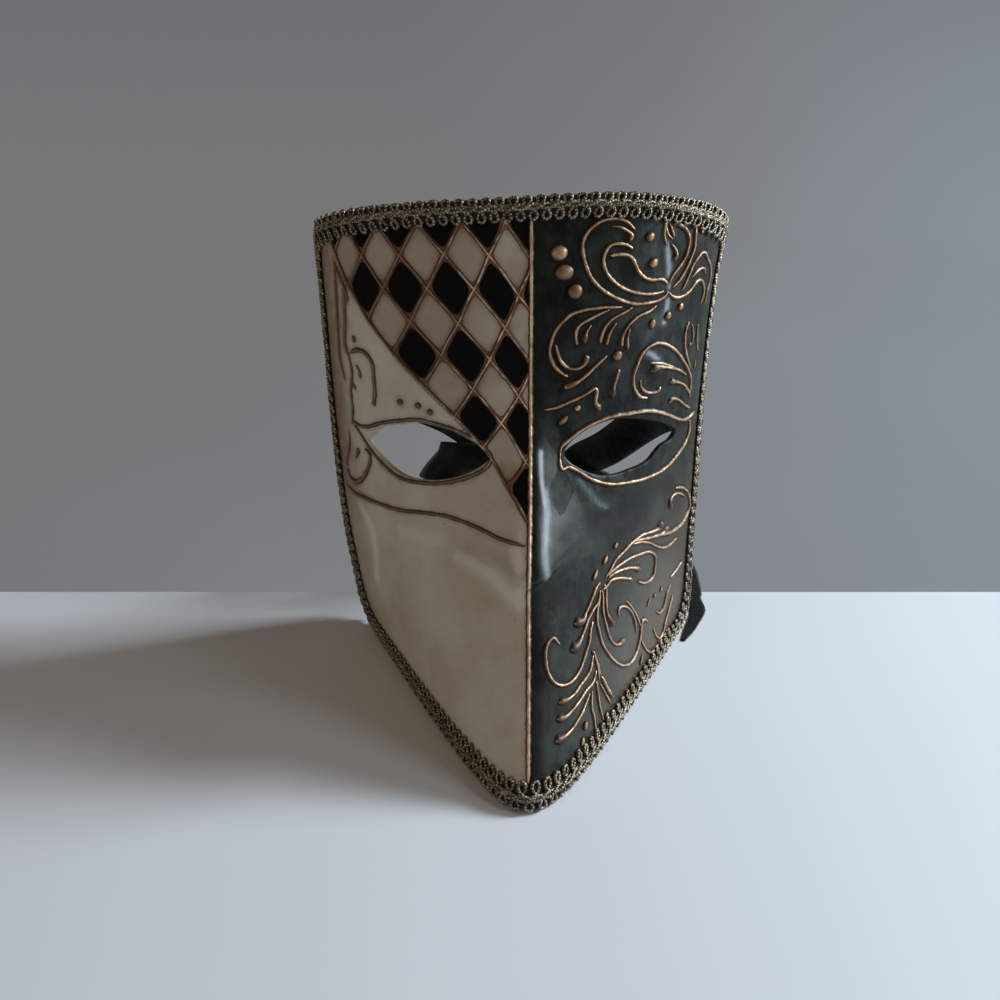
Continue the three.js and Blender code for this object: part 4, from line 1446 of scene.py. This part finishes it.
def painted_paper():
    f = Finish("painted paper")
    s, z, depth = f.fields("spot")
    a, b, field = f.fields("lattice")
    near_gold, near_bronze, past_keel = f.fields("near")
    broad, middling, fine = f.cloud(38, 3, 0.55), f.cloud(9, 4, 0.6, shift=0.3), f.cloud(1.6, 3, 0.6, shift=0.7)
    # Brushed paint: strokes that run up and down the face
    strokes = f.cloud(1, 5, 0.65, at=f.join(s * 0.35 + middling * 1.5, z * 0.055 + broad * 2, 0.0))
    wide_strokes = f.cloud(1, 3, 0.6, at=f.join(s * 0.06 + broad * 2, z * 0.028, 3.0))
    hairs = f.cloud(1, 4, 0.7, at=f.join(s * 1.4 + middling * 2.5, z * 0.12 + broad * 3, 6.0))

    # The cream half: varnished, warm in patches, stained beside the raised lines
    cream = f.mix(broad.step(0.36, 0.68), tone(197, 190, 176), tone(184, 174, 155))
    cream = f.mix(middling.step(0.5, 0.8) * 0.22, cream, tone(150, 130, 100))
    stain = (1 - (near_bronze + (middling - 0.5) * 2.6).step(0.0, 2.6)) * (0.25 + 0.6 * broad.step(0.35, 0.6))
    cream = f.mix(stain * (0.5 + (0 - s).step(62, 80) * 0.4), cream, tone(118, 84, 52))
    cream = f.mix((1 - (near_bronze + (fine - 0.5) * 0.8).step(0.05, 0.6)) * 0.85, cream, tone(66, 42, 27))
    rim_gap = f.field("rim_gap")
    rim_stain = 1 - (rim_gap + (middling - 0.5) * 24).step(12, 42)
    cream = f.mix(rim_stain * (0.35 + 0.5 * z.step(60, 95)), cream, tone(116, 80, 46))
    painted_light = f.field("painted_light")
    # Painted highlights where the cream half swells and shines, and painted shade where a mark is below nought
    cream = f.mix(painted_light.step(0.0, 1.0) * 0.6, cream, tone(226, 222, 214))
    cream = f.mix((0 - painted_light).step(0.0, 1.0) * 0.4, cream, tone(140, 128, 108))
    specks = f.cloud(2.6, 1, 0.5, shift=2.1).step(0.73, 0.77)
    cream = f.mix(specks * 0.25, cream, tone(110, 88, 60))

    # The check: diamonds between raised lines, with brown where the lines meet
    inside = field.step(-0.25, 0.25)
    ring_a, ring_b = (a - a.floor()) * 2 - 1, (b - b.floor()) * 2 - 1
    odd = (a.floor() + b.floor()) / 2 + 0.25
    black_cell = 1 - ((odd - odd.floor()) * 2).step(0.9, 1.1)
    corner = (ring_a.size() ** SQUARENESS + ring_b.size() ** SQUARENESS) ** (1 / SQUARENESS)
    corner = corner + (fine - 0.5) * 0.04 + (middling - 0.5) * 0.06
    cell = 1 - corner.step(0.855, 0.895)
    crossing = ring_a.size().least(ring_b.size()).step(0.6, 0.9)
    black = f.mix(strokes.step(0.45, 0.75) * 0.5, tone(1, 1, 1), tone(9, 10, 9))
    pale_cell = f.mix(broad.step(0.36, 0.68), tone(166, 153, 134), tone(150, 135, 114))
    pale_cell = f.mix(middling.step(0.5, 0.8) * 0.3, pale_cell, tone(122, 98, 70))
    pale_cell = f.mix((corner + middling * 0.3).step(0.75, 1.05) * 0.5, pale_cell, tone(112, 82, 54))
    copper = f.mix(middling.step(0.4, 0.65), tone(78, 54, 37), tone(96, 68, 46))
    copper = f.mix(crossing * middling.step(0.3, 0.6), copper, tone(122, 84, 38))
    # Painted light: the copper and the pale cells lighter towards the keel, where the light from the right reaches them
    keel_side_painted_light = past_keel.step(-38, -3)
    copper = f.mix(keel_side_painted_light * middling.step(0.35, 0.6) * 0.7, copper, tone(168, 116, 62))
    pale_cell = f.mix(keel_side_painted_light * broad.step(0.4, 0.55) * 0.6, pale_cell, tone(206, 197, 182))
    diamond = f.mix(black_cell, pale_cell, black)
    check = f.mix(cell, copper, diamond)
    pale = f.mix(inside, cream, check)

    # The dark half: a green-black ground with lighter brushwork and a brown wash beside the gold, lighter and browner
    # towards the side edge (partly wear, partly painted sheen), a painted floor reflection low down, painted highlights
    # and painted shade
    ground = f.mix(wide_strokes.step(0.4, 0.68), tone(8, 12, 10), tone(26, 33, 29))
    ground = f.mix(strokes.step(0.45, 0.8) * 0.5, ground, tone(54, 64, 58))
    mottle = f.cloud(13, 4, 0.65, shift=0.9)
    ground = f.mix(mottle.step(0.45, 0.6) * 0.55, ground, tone(42, 54, 47))
    ground = f.mix((1 - mottle.step(0.36, 0.5)) * 0.75, ground, tone(5, 8, 7))
    # Lighter and browner towards the side edge: partly wear, partly painted sheen of the window on the varnish
    rubbed = (s + (broad - 0.5) * 60).step(60, 135)
    ground = f.mix(rubbed * 0.45, ground, tone(62, 57, 51))
    # Painted reflection of the bright floor: lighter and browner low down towards the side
    painted_floor_sheen = (s + (broad - 0.5) * 40).step(20, 110) * (1 - (z + (broad - 0.5) * 50).step(40, 110))
    ground = f.mix(painted_floor_sheen * 0.6, ground, tone(86, 76, 65))
    # Painted shade: darker beside the keel
    ground = f.mix((1 - (past_keel + (middling - 0.5) * 8).step(0.5, 12)) * 0.7, ground, tone(7, 8, 8))
    # Painted highlights in the look of silvery dry brush, for the window's reflections on the varnish
    painted_highlight = (painted_light + (hairs - 0.5) * 0.8 + (middling - 0.5) * 0.8).step(0.1, 1.1) * painted_light.step(0.0, 0.5)
    ground = f.mix(painted_highlight * 0.95, ground, f.mix(painted_light.step(0.55, 1.0), tone(84, 98, 104), tone(176, 184, 194)))
    # Painted shade where a mark is below nought
    ground = f.mix((0 - painted_light + (middling - 0.5) * 0.4).step(0.0, 0.8) * 0.75, ground, tone(9, 12, 11))
    wash = 1 - (near_gold + (middling - 0.5) * 1.6).step(0.0, 1.5)
    ground = f.mix(wash * 0.8, ground, tone(30, 19, 13))
    dark = past_keel.step(-0.15, 0.15)
    outside = f.mix(dark, pale, ground)

    lining = f.mix(middling.step(0.3, 0.7), tone(142, 136, 124), tone(112, 106, 96))
    lining = f.mix(f.cloud(0.9, 4, 0.7, shift=5).step(0.55, 0.75) * 0.4, lining, tone(86, 80, 70))
    within = depth.step(0.5, 0.75)
    colour = f.mix(within, outside, lining)
    rough = 0.42 + middling * 0.12 + strokes * 0.1 + inside * black_cell * 0.35 - dark * painted_highlight * 0.12
    rough = rough + within * 0.4
    relief = strokes * 0.35 + middling * 0.5 + fine * 0.15
    normal = f.bump(relief, 0.5)
    normal = f.bump(f.cloud(16, 1, 0.4, shift=1.3), 1.1, under=normal)
    shine = (1 - within) * (0.12 + dark * 0.08) * (1 - inside * black_cell * (1 - dark))
    return f.done(colour, rough, normal=normal, Coat_Weight=shine, Coat_Roughness=0.3, Specular_IOR_Level=0.2)


def raised_metal(name, recess, body, crest_tone, shine):
    """Raised paint: dark along its foot, brown up its flanks, rubbed to metal along the crest, with a painted highlight
    on some crests left of the keel, high up.
    """
    f = Finish(name)
    crest = f.field("crest")
    patch, grain = f.cloud(7, 3, 0.6), f.cloud(0.8, 3, 0.65, shift=0.4)
    worn = (crest + (patch - 0.5) * 0.4 + (grain - 0.5) * 0.2).step(0.28, 0.74)
    bright = (crest + (patch - 0.5) * 0.9 + (grain - 0.5) * 0.3).step(0.62, 1.1)
    colour = f.mix(worn, recess, body)
    x, _, z = f.split(f.place)
    # Painted highlight: paler crests left of the keel, high up
    painted_glint = (x.step(-0.055, -0.006) - x.step(-0.001, 0.001)) * patch.step(0.35, 0.6) * z.step(0.11, 0.13)
    colour = f.mix(bright, colour, f.mix(painted_glint, crest_tone, tone(238, 212, 196)))
    return f.done(
        colour, 0.4 - bright * 0.1 + grain * 0.08, metallic=(worn * 0.4 + bright * 0.6) * shine,
        normal=f.bump(grain * 0.5 + patch * 0.5, 0.22),
    )


def dark_ground():
    f = Finish("braid ground cloth")
    grain = f.cloud(0.7, 3, 0.6)
    colour = f.mix(grain.step(0.35, 0.7), tone(22, 19, 15), tone(62, 54, 42))
    return f.done(colour, 0.75, normal=f.bump(grain, 0.35))


def black_satin():
    f = Finish("black satin")
    run, across, _ = f.fields("cloth")
    weave = (run * 9.0).sine() * 0.5 + (across * 14.0).sine() * 0.5
    crease = f.cloud(6, 2, 0.5)
    edge = across.size().step(9.6, 10.4)
    colour = f.mix(crease, tone(3, 4, 6), tone(6, 7, 10))
    colour = f.mix(edge * 0.5, colour, tone(17, 19, 24))
    normal = f.bump(weave * 0.5 + 0.5, 0.03)
    normal = f.bump(crease, 0.8, under=normal)
    return f.done(colour, 0.36 + crease * 0.12 + edge * 0.2, normal=normal, Sheen_Weight=0.05, Sheen_Roughness=0.4)


def stage_paint(name, first, second, rough):
    f = Finish(name)
    return f.done(f.mix(f.cloud(300, 2, 0.5), first, second), rough)


def backdrop_paint():
    """Grey paper that glows by itself, so that nothing casts a shadow on it, with painted light: paler on the window's
    side, and painted shade darker towards the top.
    """
    f = Finish("grey backdrop")
    x, y, z = f.split(f.place)
    towards_window = (x + f.cloud(400, 2, 0.5) * 0.3 - y * 0.35).step(-0.25, 0.5)
    colour = f.mix(towards_window, tone(118, 118, 119), tone(138, 145, 153))
    # Painted shade: darker towards the top
    colour = f.mix(z.step(0.0, 0.4) * 0.5, colour, tone(98, 101, 104))
    return f.done(tone(0, 0, 0), 1.0, Specular_IOR_Level=0.0, Emission_Color=colour, Emission_Strength=1.0)


gold = raised_metal("worn gold", tone(22, 14, 9), tone(118, 82, 48), tone(208, 176, 140), 0.6)
keel_gold = raised_metal("keel gold", tone(44, 26, 15), tone(140, 98, 56), tone(240, 214, 176), 0.5)
bronze = raised_metal("dark bronze", tone(62, 42, 28), tone(92, 66, 46), tone(136, 106, 80), 0.4)
for piece, look in (
    (skin, painted_paper()),
    (right_lines, gold),
    (keel_line, keel_gold),
    (left_lines, bronze),
    (braid_base, dark_ground()),
    (ties[0], black_satin()),
    (floor, stage_paint("pale floor", tone(224, 231, 240), tone(219, 226, 236), 0.5)),
    (wall, backdrop_paint()),
):
    piece.data.materials.append(look)
ties[1].data.materials.append(ties[0].data.materials[0])


def area_light(name, location, target, size, power, colour):
    light = bpy.data.lights.new(name, "AREA")
    light.shape = "RECTANGLE"
    light.size, light.size_y = size
    light.energy = power
    light.color = colour
    lamp = new_object(name, light)
    lamp.location = location
    lamp.rotation_euler = (Vector(target) - Vector(location)).to_track_quat("-Z", "Y").to_euler()


# Each light: name, where it is, what it faces, its width and height, power and colour
for light in (
    ("window", (2.07, 0.53, 1.07), (0, -0.02, 0.08), (0.6, 0.6), 82, (0.87, 0.95, 1.0)),
    ("side_strip", (0.95, -0.55, 0.2), (0, -0.05, 0.12), (0.14, 0.7), 0.85, (0.95, 0.98, 1.0)),
    ("right_high", (0.85, -0.2, 0.6), (0, -0.05, 0.14), (0.12, 0.36), 1.6, (0.95, 0.98, 1.0)),
    ("room", (-0.88, -0.95, 0.36), (0, 0.05, 0.16), (1.0, 0.5), 2.1, (1.0, 0.94, 0.86)),
    ("lamp_above", (-0.35, -0.08, 1.1), (-0.3, 0, 0), (0.5, 0.5), 0.55, (1.0, 0.54, 0.22)),
):
    area_light(*light)
world = bpy.data.worlds.new("room")
world.use_nodes = True
fill(world.node_tree, world.node_tree.nodes["Background"], {"Color": (1.0, 0.78, 0.58, 1), "Strength": 0.07})
bpy.context.scene.world = world
bpy.context.scene.view_settings.view_transform = "Standard"
